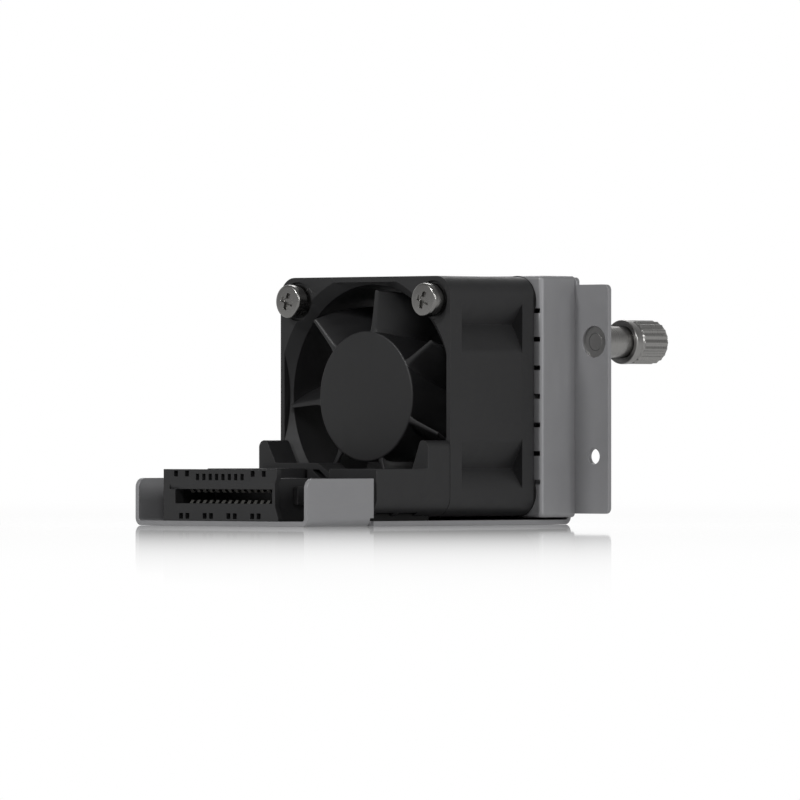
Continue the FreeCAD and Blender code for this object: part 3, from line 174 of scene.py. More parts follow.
# What each finish is, and what that gives the eye
sheetSteel = {   # zinc coated sheet steel, passivated: even mid grey, faint rolling lines along X
    "dark": "#909092", "light": "#9a9a9c", "cloudMm": 9.0, "grainMm": 0.10, "markMm": 0.8,
    "stretch": (0.1, 1, 1), "rough": 0.45, "roughDrift": 0.05, "bump": 0.12, "bumpMm": 0.008,
    "metallic": 0.4, "edgeMm": 0.12,
}
ventSteel = dict(sheetSteel, stretch=(1, 1, 0.1))   # the same sheet, rolled across
fanPlastic = {   # glass filled PBT from a spark eroded mould: dark grey, almost matt, fine pits
    "dark": "#1d1d1e", "light": "#232324", "cloudMm": 6.0, "grainMm": 0.16, "markMm": 3.0,
    "rough": 0.5, "roughDrift": 0.05, "bump": 0.25, "bumpMm": 0.012, "waveMm": 0.02,
    "specular": 0.45, "edgeMm": 0.12,
}
# The impeller is moulded of the same, from a smoother tool; the carrier is of glass filled PC
# and the connector of LCP. Natural nylon bobbins are cream, the board is green under lacquer.
impellerPlastic = dict(fanPlastic, dark="#1e1e1f", light="#232324", rough=0.42, bump=0.1)
carrierPlastic = dict(fanPlastic, dark="#1c1c1d", light="#212122", cloudMm=4.0, grainMm=0.2)
connectorPlastic = dict(fanPlastic, dark="#202021", light="#262627", rough=0.42, grainMm=0.12)
isolatorRubber = dict(fanPlastic, dark="#121212", light="#191919", rough=0.75, specular=0.2)
chipPlastic = dict(fanPlastic, dark="#101011", light="#151516", rough=0.6, grainMm=0.08)
bobbinPlastic = dict(fanPlastic, dark="#a9a594", light="#bdb9a8", rough=0.5)
boardLaminate = dict(fanPlastic, dark="#0f3a1e", light="#154826", rough=0.35, coat=0.3)
brightNickel = {   # bright nickel over turned steel: neutral light grey, tight reflections
    "dark": "#868583", "light": "#959492", "cloudMm": 2.0, "grainMm": 0.06, "markMm": 0.12,
    "stretch": (1, 0.05, 0.05), "rough": 0.24, "roughDrift": 0.04, "bump": 0.06,
    "bumpMm": 0.004, "waveMm": 0.004, "metallic": 1.0, "edgeMm": 0.08,
}
# Nickel over a knurled knob is a little duller. Ground steel is bearing and shaft, zinc a
# bluish grey plating on rivets and base screws, spring wire is dark from drawing, and the
# contacts have a pale plating. Coils and core show their wire and sheets as fine ribs.
knobNickel = dict(brightNickel, dark="#9a9997", light="#aaa9a7", rough=0.3, bump=0.03)
groundSteel = dict(brightNickel, dark="#9a9a9b", light="#b0b0b1", rough=0.3)
zincSteel = dict(brightNickel, dark="#7f8183", light="#939597", rough=0.4)
springSteel = dict(brightNickel, dark="#6c6c6d", light="#7f7f80", rough=0.3)
contactPlate = dict(brightNickel, dark="#878682", light="#9f9e9a", rough=0.35, metallic=0.8)
coreSteel = dict(groundSteel, dark="#4c4f55", light="#5d6066", rough=0.5, grainMm=0.35,
                 stretch=(1, 0.02, 0.02), bump=0.6, bumpMm=0.03)   # 0.35 mm laminations
magnetFerrite = dict(fanPlastic, dark="#262628", light="#303032", rough=0.6)
coilCopper = dict(groundSteel, dark="#8a3f1d", light="#a9552b", rough=0.3, grainMm=0.2,
                  stretch=(1, 0.05, 0.05), bump=0.8, bumpMm=0.04)   # 0.2 mm enamelled wire
tubeBrass = dict(brightNickel, dark="#9a7a3c", light="#b3914c", rough=0.28)

slotLooks = {
    "tray_sheet": ("zincCoatedSheet", sheetSteel),
    "vent_sheet": ("zincCoatedVentSheet", ventSteel),
    "fan_plastic": ("mouldedFanPbt", fanPlastic),
    "impeller_plastic": ("mouldedImpellerPbt", impellerPlastic),
    "yoke_steel": ("drawnYokeSteel", zincSteel),
    "magnet_ferrite": ("bondedFerrite", magnetFerrite),
    "shaft_steel": ("groundShaftSteel", groundSteel),
    "tube_brass": ("turnedBrass", tubeBrass),
    "bearing_steel": ("groundBearingSteel", groundSteel),
    "core_steel": ("stackedLaminations", coreSteel),
    "bobbin_plastic": ("naturalNylon", bobbinPlastic),
    "coil_copper": ("enamelledCopper", coilCopper),
    "board_laminate": ("glassLaminate", boardLaminate),
    "chip_plastic": ("epoxyPackage", chipPlastic),
    "carrier_plastic": ("mouldedCarrierPc", carrierPlastic),
    "connector_plastic": ("mouldedConnectorLcp", connectorPlastic),
    "contact_gold": ("platedContactSpring", contactPlate),
    "screw_nickel": ("brightNickelPlate", brightNickel),
    "isolator_rubber": ("softRubber", isolatorRubber),
    "rivet_steel": ("zincPlatedRivet", zincSteel),
    "base_screw_zinc": ("zincPlatedScrew", zincSteel),
    "sleeve_nickel": ("turnedNickelSleeve", dict(knobNickel, edgeMm=0)),
    "knob_nickel": ("knurledNickel", knobNickel),
    "spring_steel": ("drawnSpringWire", springSteel),
}
materials = {slot: surfaceMaterial(*entry) for slot, entry in slotLooks.items()}
slotOf = {row["node"]: row["material_slot"] for row in frame["record"]["subparts"]}
bodyOf = {node: body for body, nodes in frame["record"]["behaviour"]["bodies"].items()
          for node in nodes}
for name, node in frame["nodes"].items():
    node.data.materials.clear()
    node.data.materials.append(materials[slotOf[name]])
print("finishes on the frame:", len(materials))

# Places that several pieces share, in mm
module = {
    "fanLow": 1.45, "fanHalf": 20.0, "holeHalf": 16.0,
    "thumb": (-25.7, 30.6), "plateNear": 28.6,
}
fanMid = module["fanLow"] + module["fanHalf"]


# The sheet, the contacts and the washers stand a little otherwise in the photograph than in
# the solids: each change takes points in mm and moves whole bands of them, so that
# thicknesses stay
changeSettings = {
    "trayFrontWas": -34.0, "trayFront": -33.7,
    "tabEndWas": -17.65, "tabEnd": -18.3,
    "traySideWas": 19.6, "traySide": 20.27,
    "sideBand": 1.6,         # how far inwards the band of a side reaches, with its bend
    "plateBand": 2.0,        # what stays in front of the end plate
    "contactsBack": 1.0,
    "washer": 4.2, "washerWas": 4.7,   # radii, the second just outside the solid's
}


def trayChange(p):
    s = changeSettings
    early = p[:, 0] < s["tabEndWas"] + close
    p[early, 0] = np.interp(p[early, 0], (s["trayFrontWas"], s["tabEndWas"]),
                            (s["trayFront"], s["tabEnd"]))
    low = p[:, 0] < module["plateNear"] - s["plateBand"]
    low &= np.abs(p[:, 1]) > s["traySideWas"] - s["sideBand"]
    p[low, 1] += np.sign(p[low, 1]) * (s["traySide"] - s["traySideWas"])
    return p


def contactChange(p):
    p[:, 0] += changeSettings["contactsBack"]
    return p


def isolatorChange(p):   # about each of the fan's four holes
    s = changeSettings
    for side in (-1, 1):
        for up in (-1, 1):
            middle = np.array((side * module["holeHalf"], fanMid + up * module["holeHalf"]))
            away = p[:, 1:] - middle
            reach = np.hypot(away[:, 0], away[:, 1])
            wide = (reach > s["washer"]) & (reach < s["washerWas"])
            p[wide, 1:] = middle + away[wide] * (s["washer"] / reach[wide])[:, None]
    return p


def smoothTo(mesh, sharp):
    mesh.shade_smooth()
    mesh.set_sharp_from_angle(angle=math.radians(sharp))


def place(piece, body, slot, nodes):
    scene.collection.objects.link(piece)
    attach(piece, body)
    if nodes:
        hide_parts(*nodes)
    return piece


def addBevel(piece, width, corner):   # rounds each corner sharper than the given degrees
    bevel = piece.modifiers.new("edge", "BEVEL")
    bevel.width = width * mm
    bevel.segments = 2
    bevel.limit_method = "ANGLE"
    bevel.angle_limit = math.radians(corner)
    bevel.use_clamp_overlap = True
    weight = piece.modifiers.new("shading", "WEIGHTED_NORMAL")
    weight.keep_sharp = True


# Rounded copies of moulded, bent and turned nodes: edge round in mm, least corner, change
softEdges = {
    "fan_frame": (0.12, 40, None), "carrier": (0.12, 40, None),
    "tray": (0.1, 40, trayChange), "vent_frame": (0.1, 40, None),
    "contacts_upper": (0.03, 50, contactChange), "contacts_lower": (0.03, 50, contactChange),
    "isolator_1": (0.05, 45, isolatorChange), "isolator_2": (0.05, 45, isolatorChange),
    "isolator_3": (0.05, 45, isolatorChange), "isolator_4": (0.05, 45, isolatorChange),
}


def softenedCopy(node, width, corner, change):
    mesh = frame["nodes"][node].data.copy()
    mesh.name = node + "Soft"
    if change:
        points = np.empty(len(mesh.vertices) * 3)
        mesh.vertices.foreach_get("co", points)
        mesh.vertices.foreach_set("co", (change(points.reshape(-1, 3) / mm) * mm).ravel())
    work = bmesh.new()
    work.from_mesh(mesh)
    bmesh.ops.remove_doubles(work, verts=work.verts, dist=2e-6)
    bmesh.ops.dissolve_limit(work, angle_limit=math.radians(0.5), verts=work.verts,
                             edges=work.edges, delimit={"NORMAL"})
    work.to_mesh(mesh)
    work.free()
    mesh.shade_smooth()
    piece = place(bpy.data.objects.new(node + "Soft", mesh), bodyOf[node], slotOf[node], [node])
    addBevel(piece, width, corner)
    return piece


for node, (width, corner, change) in softEdges.items():
    softenedCopy(node, width, corner, change)
print("rounded copies:", len(softEdges))


# Grids of points become quads: column c meets column c + 1, and the last meets the first
# where the grid is closed. Doubles are merged and the shells turned outwards.
def gridFaces(rows, columns, closed):
    r, c = np.meshgrid(np.arange(rows - 1), np.arange(columns - (not closed)), indexing="ij")
    n = (c + 1) % columns
    quads = (r * columns + c, r * columns + n, (r + 1) * columns + n, (r + 1) * columns + c)
    return np.stack(quads, -1).reshape(-1, 4)


def surfacePiece(name, grids, body, slot, nodes=(), sharp=35):
    points, faces, start = [], [], 0
    for grid, closed in grids:
        points.append(grid.reshape(-1, 3))
        faces.append(gridFaces(*grid.shape[:2], closed) + start)
        start += grid.shape[0] * grid.shape[1]
    return facePiece(name, np.concatenate(points), np.concatenate(faces), body, slot, nodes, sharp)


def facePiece(name, points, faces, body, slot, nodes=(), sharp=35, flatten=False):
    mesh = bpy.data.meshes.new(name)
    mesh.from_pydata((points * mm).tolist(), [], faces.tolist())
    work = bmesh.new()
    work.from_mesh(mesh)
    bmesh.ops.remove_doubles(work, verts=work.verts, dist=1e-6)
    bmesh.ops.recalc_face_normals(work, faces=work.faces)
    if flatten:
        bmesh.ops.dissolve_limit(work, angle_limit=math.radians(0.5), verts=work.verts,
                                 edges=work.edges, delimit={"NORMAL"})
    work.to_mesh(mesh)
    work.free()
    smoothTo(mesh, sharp)
    mesh.materials.append(materials[slot])
    return place(bpy.data.objects.new(name, mesh), body, slot, nodes)


# A profile of (x, radius, round) corners: a round of w replaces its corner by the parabola
# from w before it to w after it
def profileLine(corners, steps=6):
    corners = np.array(corners, float)
    part = np.linspace(0, 1, steps)[:, None]
    line = []
    for k, (x, r, w) in enumerate(corners):
        here = np.array((x, r))
        if w:
            back, ahead = corners[k - 1, :2] - here, corners[(k + 1) % len(corners), :2] - here
            first = here + back / np.hypot(*back) * w
            last = here + ahead / np.hypot(*ahead) * w
            line.append((1 - part) ** 2 * first + 2 * part * (1 - part) * here + part ** 2 * last)
        else:
            line.append(here[None])
    return np.concatenate(line)


# The profile carried round an axis along X: y = -r cos(turn), z = r sin(turn)
def turnedGrid(line, axis, count):
    turn = np.linspace(0, 2 * np.pi, count, endpoint=False)
    x, r = line[:, :1], line[:, 1:2]
    grid = np.stack([x + 0 * turn, -r * np.cos(turn), r * np.sin(turn)], -1)
    return grid + (0, *axis)


impellerSettings = {
    "front": 0.2, "back": 15.4, "hub": 10.95, "wall": 0.95, "cap": 1.2, "edge": 0.35,
    "bossRadius": 2.0, "bossHigh": 1.6, "shaft": 1.0,
    "bladeCount": 7, "bladeStart": 0.3, "bladeEnd": 13.0, "tip": 17.9,
    "first": 134.0,        # degrees from the near side upwards, seen from the inlet
    "turnRoot": 26.0,      # degrees that a blade turns from inlet to outlet at the hub
    "turnTip": 12.0,       # and at its tip
    "thickRoot": 0.95, "thickTip": 0.65,
    "nose": 0.22,          # rounding of the leading and trailing edges and of the tip
    "fillet": 0.5,         # extra thickness where a blade leaves the hub
}


# One blade: at depth share u and radius r its middle lies at angle first - whole * (1 - (1 -
# u) ** 2), whole falling evenly from root to tip, and each side stands off by half the
# thickness, which goes to nothing as a quarter circle over the nose at every free edge
def bladeGrid(s, angle):
    share = (1 - np.cos(np.linspace(0, np.pi, 37))) / 2
    depth = s["bladeStart"] + (s["bladeEnd"] - s["bladeStart"]) * share
    root, tip, nose = s["hub"] - 0.4, s["tip"], s["nose"]
    outer = tip - nose + nose * np.sin(np.linspace(0, np.pi / 2, 7))
    radius = np.concatenate([np.linspace(root, tip - nose, 24)[:-1], outer])[:, None]
    span = (radius - root) / (tip - root)
    edge = np.minimum(np.minimum(depth - depth[0], depth[-1] - depth) / nose, 1)
    ends = np.sqrt(1 - (1 - edge) ** 2)
    over = np.clip((radius - (tip - nose)) / nose, 0, 1)
    thick = s["thickRoot"] + (s["thickTip"] - s["thickRoot"]) * span
    thick = thick + s["fillet"] * np.exp(-(radius - s["hub"]).clip(0) / 0.4)
    half = thick / 2 * np.sqrt(1 - over ** 2) * ends / radius
    whole = s["turnRoot"] + (s["turnTip"] - s["turnRoot"]) * span
    middle = np.radians(angle - whole * (1 - (1 - share) ** 2))
    turn = np.concatenate([middle + half, (middle - half)[:, ::-1]], 1)
    across = np.concatenate([depth, depth[::-1]]) + 0 * turn
    return np.stack([across, -radius * np.cos(turn), fanMid + radius * np.sin(turn)], -1)


def makeImpeller(s):
    inner = s["hub"] - s["wall"]
    capBack = s["front"] + s["cap"]
    hub = profileLine([
        (s["front"], 0, 0), (s["front"], s["hub"], s["edge"]), (s["back"], s["hub"], 0.15),
        (s["back"], inner, 0.1), (capBack, inner, 0.1), (capBack, s["bossRadius"], 0),
        (capBack + s["bossHigh"], s["bossRadius"], 0), (capBack + s["bossHigh"], s["shaft"], 0),
        (1.0, s["shaft"], 0), (1.0, 0, 0)])
    grids = [(turnedGrid(hub, (0, fanMid), 160), True)]
    for k in range(s["bladeCount"]):
        grids.append((bladeGrid(s, s["first"] + 360 * k / s["bladeCount"]), True))
    surfacePiece("impellerMoulding", grids, "rotor", "impeller_plastic", ["impeller"])


makeImpeller(impellerSettings)
print("impeller ready")

knobSettings = {
    "mouth": 35.2, "end": 43.05, "radius": 3.72, "bore": 3.05, "cap": 1.2,
    "lip": 2.95, "rim": 3.6, "coneDeep": 0.14,   # dished mouth
    "grooveFront": 0.24, "grooveWide": 0.4, "grooveRadius": 3.25,
    "ringFront": 35.46, "ringBack": 35.8, "ringInner": 2.75, "ringOuter": 3.2,
    "collarEnd": 36.55, "knurlStart": 37.05, "neck": 3.45,
    "flutes": 20, "fluteHalf": 0.4, "fluteDeep": 0.3, "firstFlute": 7.0, "fluteRise": 0.5,
    "endRound": 0.35, "screwCap": 2.22,
}


# The knob is its profile turned about X, less fluteDeep * exp(-(w / fluteHalf) ** 2) at the
# arc distance w from each flute's line. A flute starts behind the neck by the smooth step
# a * a * (3 - 2 * a) over fluteRise and ends where the radius falls to the neck's.
def makeKnob(s):
    cup = s["end"] - s["cap"]
    grooveEnd = s["mouth"] + s["grooveFront"] + s["grooveWide"]
    line = profileLine([
        (cup, s["screwCap"], 0), (cup, s["bore"], 0), (grooveEnd, s["bore"], 0),
        (grooveEnd, s["grooveRadius"], 0), (s["mouth"] + s["grooveFront"], s["grooveRadius"], 0),
        (s["mouth"] + s["grooveFront"], s["lip"], 0), (s["mouth"] + s["coneDeep"], s["lip"], 0),
        (s["mouth"], s["rim"], 0.05), (s["mouth"] + 0.12, s["radius"], 0.08),
        (s["collarEnd"], s["radius"], 0.12),
        (s["collarEnd"] + 0.1, s["neck"], 0), (s["knurlStart"], s["neck"], 0)])
    shoulder = profileLine([
        (s["knurlStart"] + 0.02, s["neck"], 0), (s["knurlStart"] + 0.22, s["radius"], 0.1),
        (s["end"], s["radius"], s["endRound"]), (s["end"], s["screwCap"], 0),
        (cup, s["screwCap"], 0)])
    steps = np.linspace(s["knurlStart"] + 0.4, s["end"] - 0.5, 24)
    long = np.stack([steps, 0 * steps + s["radius"]], 1)
    flat = np.argmax(shoulder[:, 0] > s["knurlStart"] + 0.4)
    line = np.concatenate([line, shoulder[:flat], long, shoulder[flat:]])
    grid = turnedGrid(line, (0, 0), 480)
    turn = np.degrees(np.linspace(0, 2 * np.pi, 480, endpoint=False))
    pitch = 360 / s["flutes"]
    off = (turn - s["firstFlute"] + pitch / 2) % pitch - pitch / 2
    flute = s["fluteDeep"] * np.exp(-(np.radians(off) * s["radius"] / s["fluteHalf"]) ** 2)
    ends = np.clip((line[:, :1] - s["knurlStart"] - 0.02) / s["fluteRise"], 0, 1)
    ends = ends * ends * (3 - 2 * ends)
    ends = ends * np.clip((line[:, 1:2] - s["neck"]) / 0.2, 0, 1)
    grid[..., 1:] *= (1 - ends * flute / s["radius"])[..., None]
    grid += (0, *module["thumb"])
    surfacePiece("knurledKnob", [(grid, True)], "thumb", "knob_nickel", ["thumb_knob"], 50)
    ring = profileLine([
        (s["ringFront"], s["ringInner"], 0.05), (s["ringFront"], s["ringOuter"], 0.05),
        (s["ringBack"], s["ringOuter"], 0.05), (s["ringBack"], s["ringInner"], 0.05)])
    ring = turnedGrid(np.concatenate([ring, ring[:1]]), module["thumb"], 96)
    surfacePiece("snapRing", [(ring, True)], "thumb_slider", "sleeve_nickel", ["knob_ring"])


springSettings = {"start": 30.2, "end": 41.55, "radius": 1.8, "wire": 0.18, "turns": 9.5,
                  "dead": 1.0, "keep": 0.542}


# A wire on a helix: the turn goes evenly, and the way along X follows it by the smoothed
# ramp that leaves a dead turn lying flat at each end. The wire's circle stands square to it.
def makeSpring(s):
    turn = np.linspace(0, s["turns"], 720)
    flat = s["dead"] * 0.5
    ramp = np.clip((turn - flat) / (s["turns"] - 2 * flat), 0, 1)
    along = s["start"] + s["wire"] + (s["end"] - s["start"] - 2 * s["wire"]) * ramp
    along += 2 * s["wire"] * (np.clip(turn / flat, 0, 1) - 1)
    along += 2 * s["wire"] * np.clip((turn - s["turns"] + flat) / flat, 0, 1)
    along = np.clip(along, s["start"], s["end"])[:, None]
    angle = 2 * np.pi * turn[:, None]
    ring = np.linspace(0, 2 * np.pi, 12, endpoint=False)[None]
    taper = np.minimum(np.minimum(np.arange(720), np.arange(720)[::-1]), 1)[:, None]
    out = s["radius"] + s["wire"] * taper * np.cos(ring)
    grid = np.stack([along + s["wire"] * taper * np.sin(ring), -out * np.cos(angle),
                     out * np.sin(angle)], -1) + (0, *module["thumb"])
    piece = surfacePiece("returnSpring", [(grid, True)], "module", "spring_steel",
                         ["thumb_spring"], 60)
    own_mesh(piece)


makeKnob(knobSettings)
makeSpring(springSettings)
print("thumbscrew ready")

screwSettings = {
    "face": -2.58, "seat": 0.5, "head": 2.8, "faceRadius": 2.42, "crown": 0.1,
    "shank": 1.45, "end": 24.0, "crossWide": 0.75, "crossHalf": 1.45, "crossDeep": 0.55,
    "wall": 0.08, "slope": 0.25,   # how wide the cross's walls are, and its arms' ends
    "crossTurn": 0.35,             # radians about X
}


# The head's face is a fine polar grid: x = face + crown * (r / faceRadius) ** 2, and inside
# the cross it sinks by crossDeep, over a wall along the arms and a slope at their ends. The
# cross is found on the axes, then the whole face is turned by crossTurn.
def makeFanScrew(s, name, side, node):
    r = np.linspace(0, s["faceRadius"], 44)[::-1, None]
    turn = np.linspace(0, 2 * np.pi, 240, endpoint=False) + np.pi / 7
    y, z = -r * np.cos(turn), r * np.sin(turn)
    slim, wide = np.minimum(np.abs(y), np.abs(z)), np.maximum(np.abs(y), np.abs(z))
    inside = np.clip((s["crossWide"] / 2 - slim) / s["wall"] + 0.5, 0, 1)
    inside = inside * np.clip((s["crossHalf"] - wide) / s["slope"], 0, 1)
    along, across = np.cos(s["crossTurn"]), np.sin(s["crossTurn"])
    grid = np.stack([s["face"] + s["crown"] * (r / s["faceRadius"]) ** 2 +
                     s["crossDeep"] * inside, y * along - z * across,
                     y * across + z * along], -1)
    faceX = s["face"] + s["crown"]
    line = profileLine([
        (s["end"], 0, 0), (s["end"], s["shank"] - 0.2, 0), (s["end"] - 0.3, s["shank"], 0),
        (s["seat"], s["shank"], 0), (s["seat"], s["head"], 0.1),
        (faceX + 0.02, s["head"], 0.42), (faceX, s["faceRadius"], 0)])
    body = turnedGrid(line, (0, 0), 240)
    body[-1] = grid[0]
    middle = (0, side * module["holeHalf"], fanMid + module["holeHalf"])
    surfacePiece(name, [(body + middle, True), (grid + middle, True)], "module",
                 "screw_nickel", [node], 40)


makeFanScrew(screwSettings, "fanScrewNear", -1, "fan_screw_1")
makeFanScrew(screwSettings, "fanScrewFar", 1, "fan_screw_2")
print("fan screws ready")


# Boxes of (lowest corner, highest corner) fill the cells of an uneven lattice, and each face
# between a full and an empty cell becomes a quad
def latticeFaces(added, removed, lines=((), (), ())):
    boxes = np.array(added + removed, float)
    axes = [np.unique(np.round(np.append(boxes[:, :, k], lines[k]), 4)) for k in range(3)]
    middles = np.meshgrid(*[(a[1:] + a[:-1]) / 2 for a in axes], indexing="ij")

    def inside(box):
        return np.all([(m > box[0][k]) & (m < box[1][k]) for k, m in enumerate(middles)], axis=0)

    full = np.zeros(middles[0].shape, bool)
    for box in added:
        full |= inside(box)
    for box in removed:
        full &= ~inside(box)
    size = [len(a) for a in axes]
    quads = []
    for k in range(3):
        trim = tuple(slice(None) if j == k else slice(1, -1) for j in range(3))
        where = np.array(np.nonzero(np.diff(np.pad(full, 1).astype(int), axis=k)[trim]))
        a, b = [j for j in range(3) if j != k]
        for da, db in ((0, 0), (1, 0), (1, 1), (0, 1)):
            spot = where.copy()
            spot[a] += da
            spot[b] += db
            quads.append(np.ravel_multi_index(spot, size))
    corners = np.concatenate([np.stack(quads[4 * k:4 * k + 4], -1) for k in range(3)])
    used, faces = np.unique(corners, return_inverse=True)
    spots = np.unravel_index(used, size)
    points = np.stack([axes[k][spots[k]] for k in range(3)], -1)
    return points, faces.reshape(-1, 4)


connectorSettings = {
    "front": -33.55, "back": -20.3, "low": 0.8, "high": 9.35, "shift": 0.42,
    "half": 13.3, "flange": 1.0, "bodyNear": -12.24, "bodyFar": 12.3, "bodyHigh": 7.85,
    "slotNear": -11.9, "slotFar": 10.95, "slotLow": 3.7, "slotHigh": 6.05,
    "lip": 1.9, "lead": 0.4, "leadFar": 12.3, "leadNear": -12.24, "leadHigh": 6.95,
    "cavityNear": -11.5, "cavityFar": 11.5, "cavityLow": 2.4, "cavityHigh": 7.1,
    "cavityBack": -23.6,
    "sideHeights": (1.4, 3.2, 7.2, 8.0), "sideHalf": (13.7, 12.95, 12.95, 13.4),
    "pitch": 1.5, "holeDeep": 0.9,
    "slotHoles": 8, "slotHole": 0.78, "slotHoleLow": 7.55, "slotHoleHigh": 8.6,
    "squareHole": 0.95, "squarePlaces": (-10.35, -7.75, 7.75, 10.35), "squareLow": 8.15,
    "pairs": 4, "pairPitch": 5.6, "pairLow": 1.15,
    "wireHole": 1.1, "wireDeep": 2.4, "wireHeights": (3.0, 5.4), "wireSpread": 2.6,
}


# The housing is a lattice solid: a flange with the slot and the holes, and a body with the
# hollow for the contacts and with wire holes in its back. The flange's near side is then
# drawn in by the table of half widths over height, and the lead-in over the slot slopes
# evenly from the front plane to the slot's edge.
def makeConnector(s):
    front, shift = s["front"], s["shift"]
    inner = front + s["flange"]
    added = [((front, shift - s["half"], s["low"]), (inner, shift + s["half"], s["high"])),
             ((inner, s["bodyNear"], s["low"]), (s["back"], s["bodyFar"], s["bodyHigh"]))]
    removed = [((front, s["slotNear"], s["slotLow"]),
                (front + s["lip"], s["slotFar"], s["slotHigh"])),
               ((front, s["leadNear"], s["slotHigh"]),
                (front + s["lead"], s["leadFar"], s["leadHigh"])),
               ((front + s["lip"], s["cavityNear"], s["cavityLow"]),
                (s["cavityBack"], s["cavityFar"], s["cavityHigh"]))]

    def hole(middle, low, wide, high):
        removed.append(((front, middle - wide / 2, low),
                        (front + s["holeDeep"], middle + wide / 2, low + high)))

    for k in range(s["slotHoles"]):
        hole(shift + (k - (s["slotHoles"] - 1) / 2) * s["pitch"], s["slotHoleLow"],
             s["slotHole"], s["slotHoleHigh"] - s["slotHoleLow"])
    for spot in s["squarePlaces"]:
        hole(shift + spot, s["squareLow"], s["squareHole"], s["squareHole"])
    for k in range(s["pairs"]):
        middle = shift + (k - (s["pairs"] - 1) / 2) * s["pairPitch"]
        for side in (-0.5, 0.5):
            hole(middle + side * s["pitch"], s["pairLow"], s["squareHole"], s["squareHole"])
            for low in s["wireHeights"]:
                y = middle + side * s["wireSpread"]
                removed.append(((s["back"] - s["wireDeep"], y - s["wireHole"] / 2, low),
                                (s["back"], y + s["wireHole"] / 2, low + s["wireHole"])))
    points, faces = latticeFaces(added, removed, ((), (), s["sideHeights"]))
    x, y, z = points.T
    nearSide = (x < inner + close) & (np.abs(y - (shift - s["half"])) < close)
    y[nearSide] = shift - np.interp(z[nearSide], s["sideHeights"], s["sideHalf"])
    lead = (np.abs(x - front - s["lead"]) < close) & (z > s["slotHigh"] - close)
    lead &= (z < s["leadHigh"] + close) & (y > s["leadNear"] - close) & (y < s["leadFar"] + close)
    x[lead] = front + s["lead"] * (s["leadHigh"] - z[lead]) / (s["leadHigh"] - s["slotHigh"])
    piece = facePiece("connectorHousing", points, faces, "module", "connector_plastic",
                      ["connector_housing"], 35, True)
    addBevel(piece, 0.07, 40)


# Painted shade: these rails only put near-black under the carrier's blocks, where there is shade
shadeRailSettings = {"front": -17.2, "back": -2.7, "outer": 17.6, "inner": 16.4, "blockInner": 9.0,
                "wide": 1.3, "low": 0.8, "high": 2.1}


# Dark rails under the carrier's blocks stand on the tray as painted shade: they close the view
# under the blocks and put near black there. One runs along each block's outer side and one across
# below its front
def makeShadeRails(s):
    added = []
    for side in (-1, 1):
        for x0, x1, y0, y1 in ((s["front"], s["back"], s["inner"], s["outer"]),
                               (s["front"], s["front"] + s["wide"], s["blockInner"], s["inner"])):
            across = sorted((side * y0, side * y1))
            added.append(((x0, across[0], s["low"]), (x1, across[1], s["high"])))
    points, faces = latticeFaces(added, [])
    # The near-black rubber finish on these rails is painted shade under the blocks
    facePiece("carrierShadeRails", points, faces, "module", "isolator_rubber", (), 35, True)


collarSettings = {"front": 20.4, "back": 27.4, "inner": 18.72, "outer": 19.18}


def makeCollar(s):   # plain ring that leads the air from the fan's bore to the grille
    line = profileLine([(s["front"], s["inner"], 0.1), (s["back"], s["inner"], 0.1),
                        (s["back"], s["outer"], 0.1), (s["front"], s["outer"], 0.1)])
    line = np.concatenate([line, line[:1]])
    surfacePiece("ventCollar", [(turnedGrid(line, (0, fanMid), 160), True)], "module",
                 "vent_sheet", ())


makeConnector(connectorSettings)
makeShadeRails(shadeRailSettings)
makeCollar(collarSettings)
print("connector, rails and collar ready")

floorSettings = {
    "side": 4.0,             # metres
    "mirrorStart": 1.0,      # share of the mirror image right below the object
    "mirrorFall": 2.3,       # and how it fades, per metre
    "mirrorFallFar": 6.9,    # and per metre squared
    "shadowShare": 0.16,     # share of the table that takes shadow, near the object
    "gloss": 0.7,            # how bright the table is in the metal's reflections
    "rough": 0.025,
    "drop": 0.00002,         # metres below the object, so that no faces coincide
}


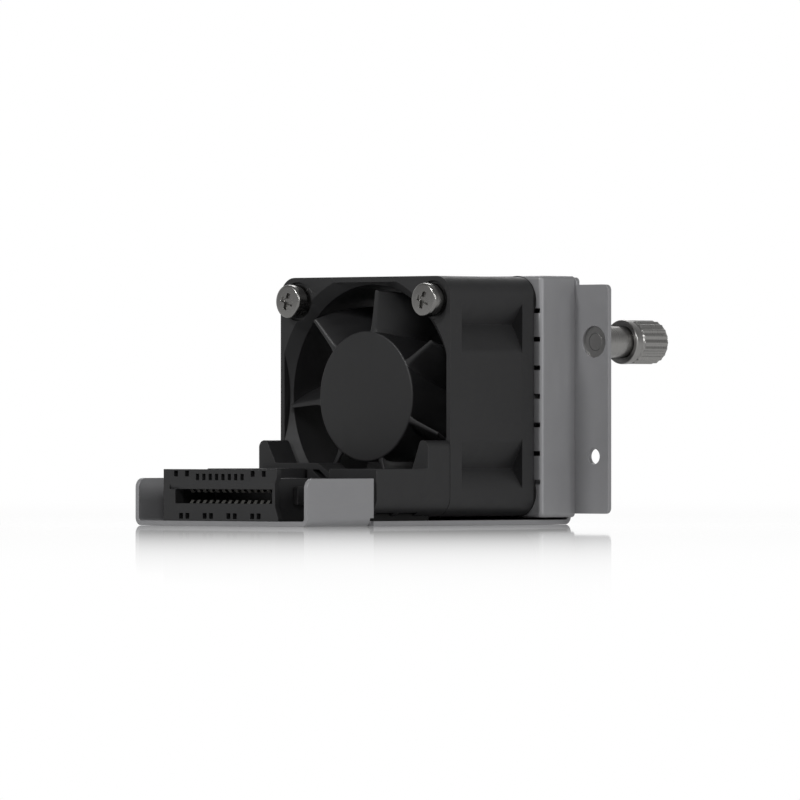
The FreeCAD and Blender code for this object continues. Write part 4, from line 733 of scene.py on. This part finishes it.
# A polished table that fades to plain white: the mirror share is start * exp(-(fall * d +
# fallFar * d * d)) at the distance d from the object's middle
def addFloor(settings):
    side = settings["side"]
    mesh = bpy.data.meshes.new("floor")
    mesh.from_pydata([(-side, -side, 0), (side, -side, 0), (side, side, 0), (-side, side, 0)],
                     [], [(0, 1, 2, 3)])
    floor = bpy.data.objects.new("floor", mesh)
    floor.location = (0, 0, -settings["drop"])
    scene.collection.objects.link(floor)
    material, tree = newMaterial("polishedTable")
    rays = addNode(tree, "ShaderNodeLightPath")
    spot = addNode(tree, "ShaderNodeTexCoord").outputs["Object"]
    away = addNode(tree, "ShaderNodeVectorMath", {"operation": "LENGTH"}, {0: spot})
    slope = addNode(tree, "ShaderNodeMath", {
        "operation": "MULTIPLY_ADD", 1: -settings["mirrorFallFar"], 2: -settings["mirrorFall"]},
        {0: away.outputs["Value"]})
    fall = addNode(tree, "ShaderNodeMath", {"operation": "MULTIPLY"},
                   {0: slope.outputs[0], 1: away.outputs["Value"]})
    power = addNode(tree, "ShaderNodeMath", {"operation": "EXPONENT"}, {0: fall.outputs[0]})
    mirror = addNode(tree, "ShaderNodeMath", {"operation": "MULTIPLY", 1: settings["mirrorStart"]},
                     {0: power.outputs[0]})
    shadow = addNode(tree, "ShaderNodeMath", {"operation": "MULTIPLY", 1: settings["shadowShare"]},
                     {0: power.outputs[0]})
    white = addNode(tree, "ShaderNodeEmission", {"Color": (1, 1, 1, 1), "Strength": 1.0})
    pale = addNode(tree, "ShaderNodeEmission", {"Color": (1, 1, 1, 1),
                                                "Strength": settings["gloss"]})
    plain = addNode(tree, "ShaderNodeBsdfDiffuse", {"Color": (0.8, 0.8, 0.8, 1)})
    gloss = addNode(tree, "ShaderNodeBsdfGlossy", {"Color": (1, 1, 1, 1),
                                                   "Roughness": settings["rough"]})
    lit = addNode(tree, "ShaderNodeMixShader", None,
                  {0: shadow.outputs[0], 1: white.outputs[0], 2: plain.outputs[0]})
    seen = addNode(tree, "ShaderNodeMixShader", None,
                   {0: mirror.outputs[0], 1: lit.outputs[0], 2: gloss.outputs[0]})
    metal = addNode(tree, "ShaderNodeMixShader", {0: 0.5}, {1: pale.outputs[0],
                                                           2: plain.outputs[0]})
    other = addNode(tree, "ShaderNodeMixShader", None,
                    {0: rays.outputs["Is Glossy Ray"], 1: plain.outputs[0], 2: metal.outputs[0]})
    final = addNode(tree, "ShaderNodeMixShader", None,
                    {0: rays.outputs["Is Camera Ray"], 1: other.outputs[0], 2: seen.outputs[0]})
    finishMaterial(material, tree, final)
    mesh.materials.append(material)


# White to the camera; gloss shows white from behind the object and a dimmer studio from the
# sides and the front, less of it overhead; everything else gets the even level
def addWorld(settings):
    world = bpy.data.worlds.new("studio")
    scene.world = world
    world.use_nodes = True
    tree = world.node_tree
    tree.nodes.clear()
    rays = addNode(tree, "ShaderNodeLightPath")
    way = addNode(tree, "ShaderNodeTexCoord").outputs["Generated"]
    split = addNode(tree, "ShaderNodeSeparateXYZ", None, {"Vector": way})
    toBack = addNode(tree, "ShaderNodeVectorMath", {
        "operation": "DOT_PRODUCT", 1: (0.707, 0.707, 0.0)}, {0: way})
    around = addNode(tree, "ShaderNodeMapRange", {
        "From Min": 0.2, "From Max": 0.8, "To Min": settings["mirrorFront"],
        "To Max": settings["mirrorBack"]}, {"Value": toBack.outputs["Value"]})
    high = addNode(tree, "ShaderNodeMapRange", {
        "From Min": 0.0, "From Max": settings["mirrorRise"],
        "To Min": 1.0, "To Max": settings["mirrorHigh"]}, {"Value": split.outputs["Z"]})
    mirrored = addNode(tree, "ShaderNodeMath", {"operation": "MULTIPLY"},
                       {0: around.outputs[0], 1: high.outputs[0]})
    glossy = addNode(tree, "ShaderNodeMix", {2: settings["level"]}, {
        0: rays.outputs["Is Glossy Ray"], 3: mirrored.outputs[0]})
    direct = addNode(tree, "ShaderNodeMath", {"operation": "MAXIMUM"}, {
        0: rays.outputs["Is Camera Ray"], 1: rays.outputs["Is Transmission Ray"]})
    level = addNode(tree, "ShaderNodeMix", {3: settings["seen"]}, {
        0: direct.outputs[0], 2: glossy.outputs[0]})
    back = addNode(tree, "ShaderNodeBackground", {"Color": (1, 1, 1, 1)},
                   {"Strength": level.outputs[0]})
    addNode(tree, "ShaderNodeOutputWorld", None, {"Surface": back.outputs[0]})


addFloor(floorSettings)
addWorld(lightSettings)
for lamp, (spot, size, power) in lightSettings["lamps"].items():
    addLamp(lamp + "Lamp", spot, size, power)
addCamera(viewSettings)
print("stage ready")
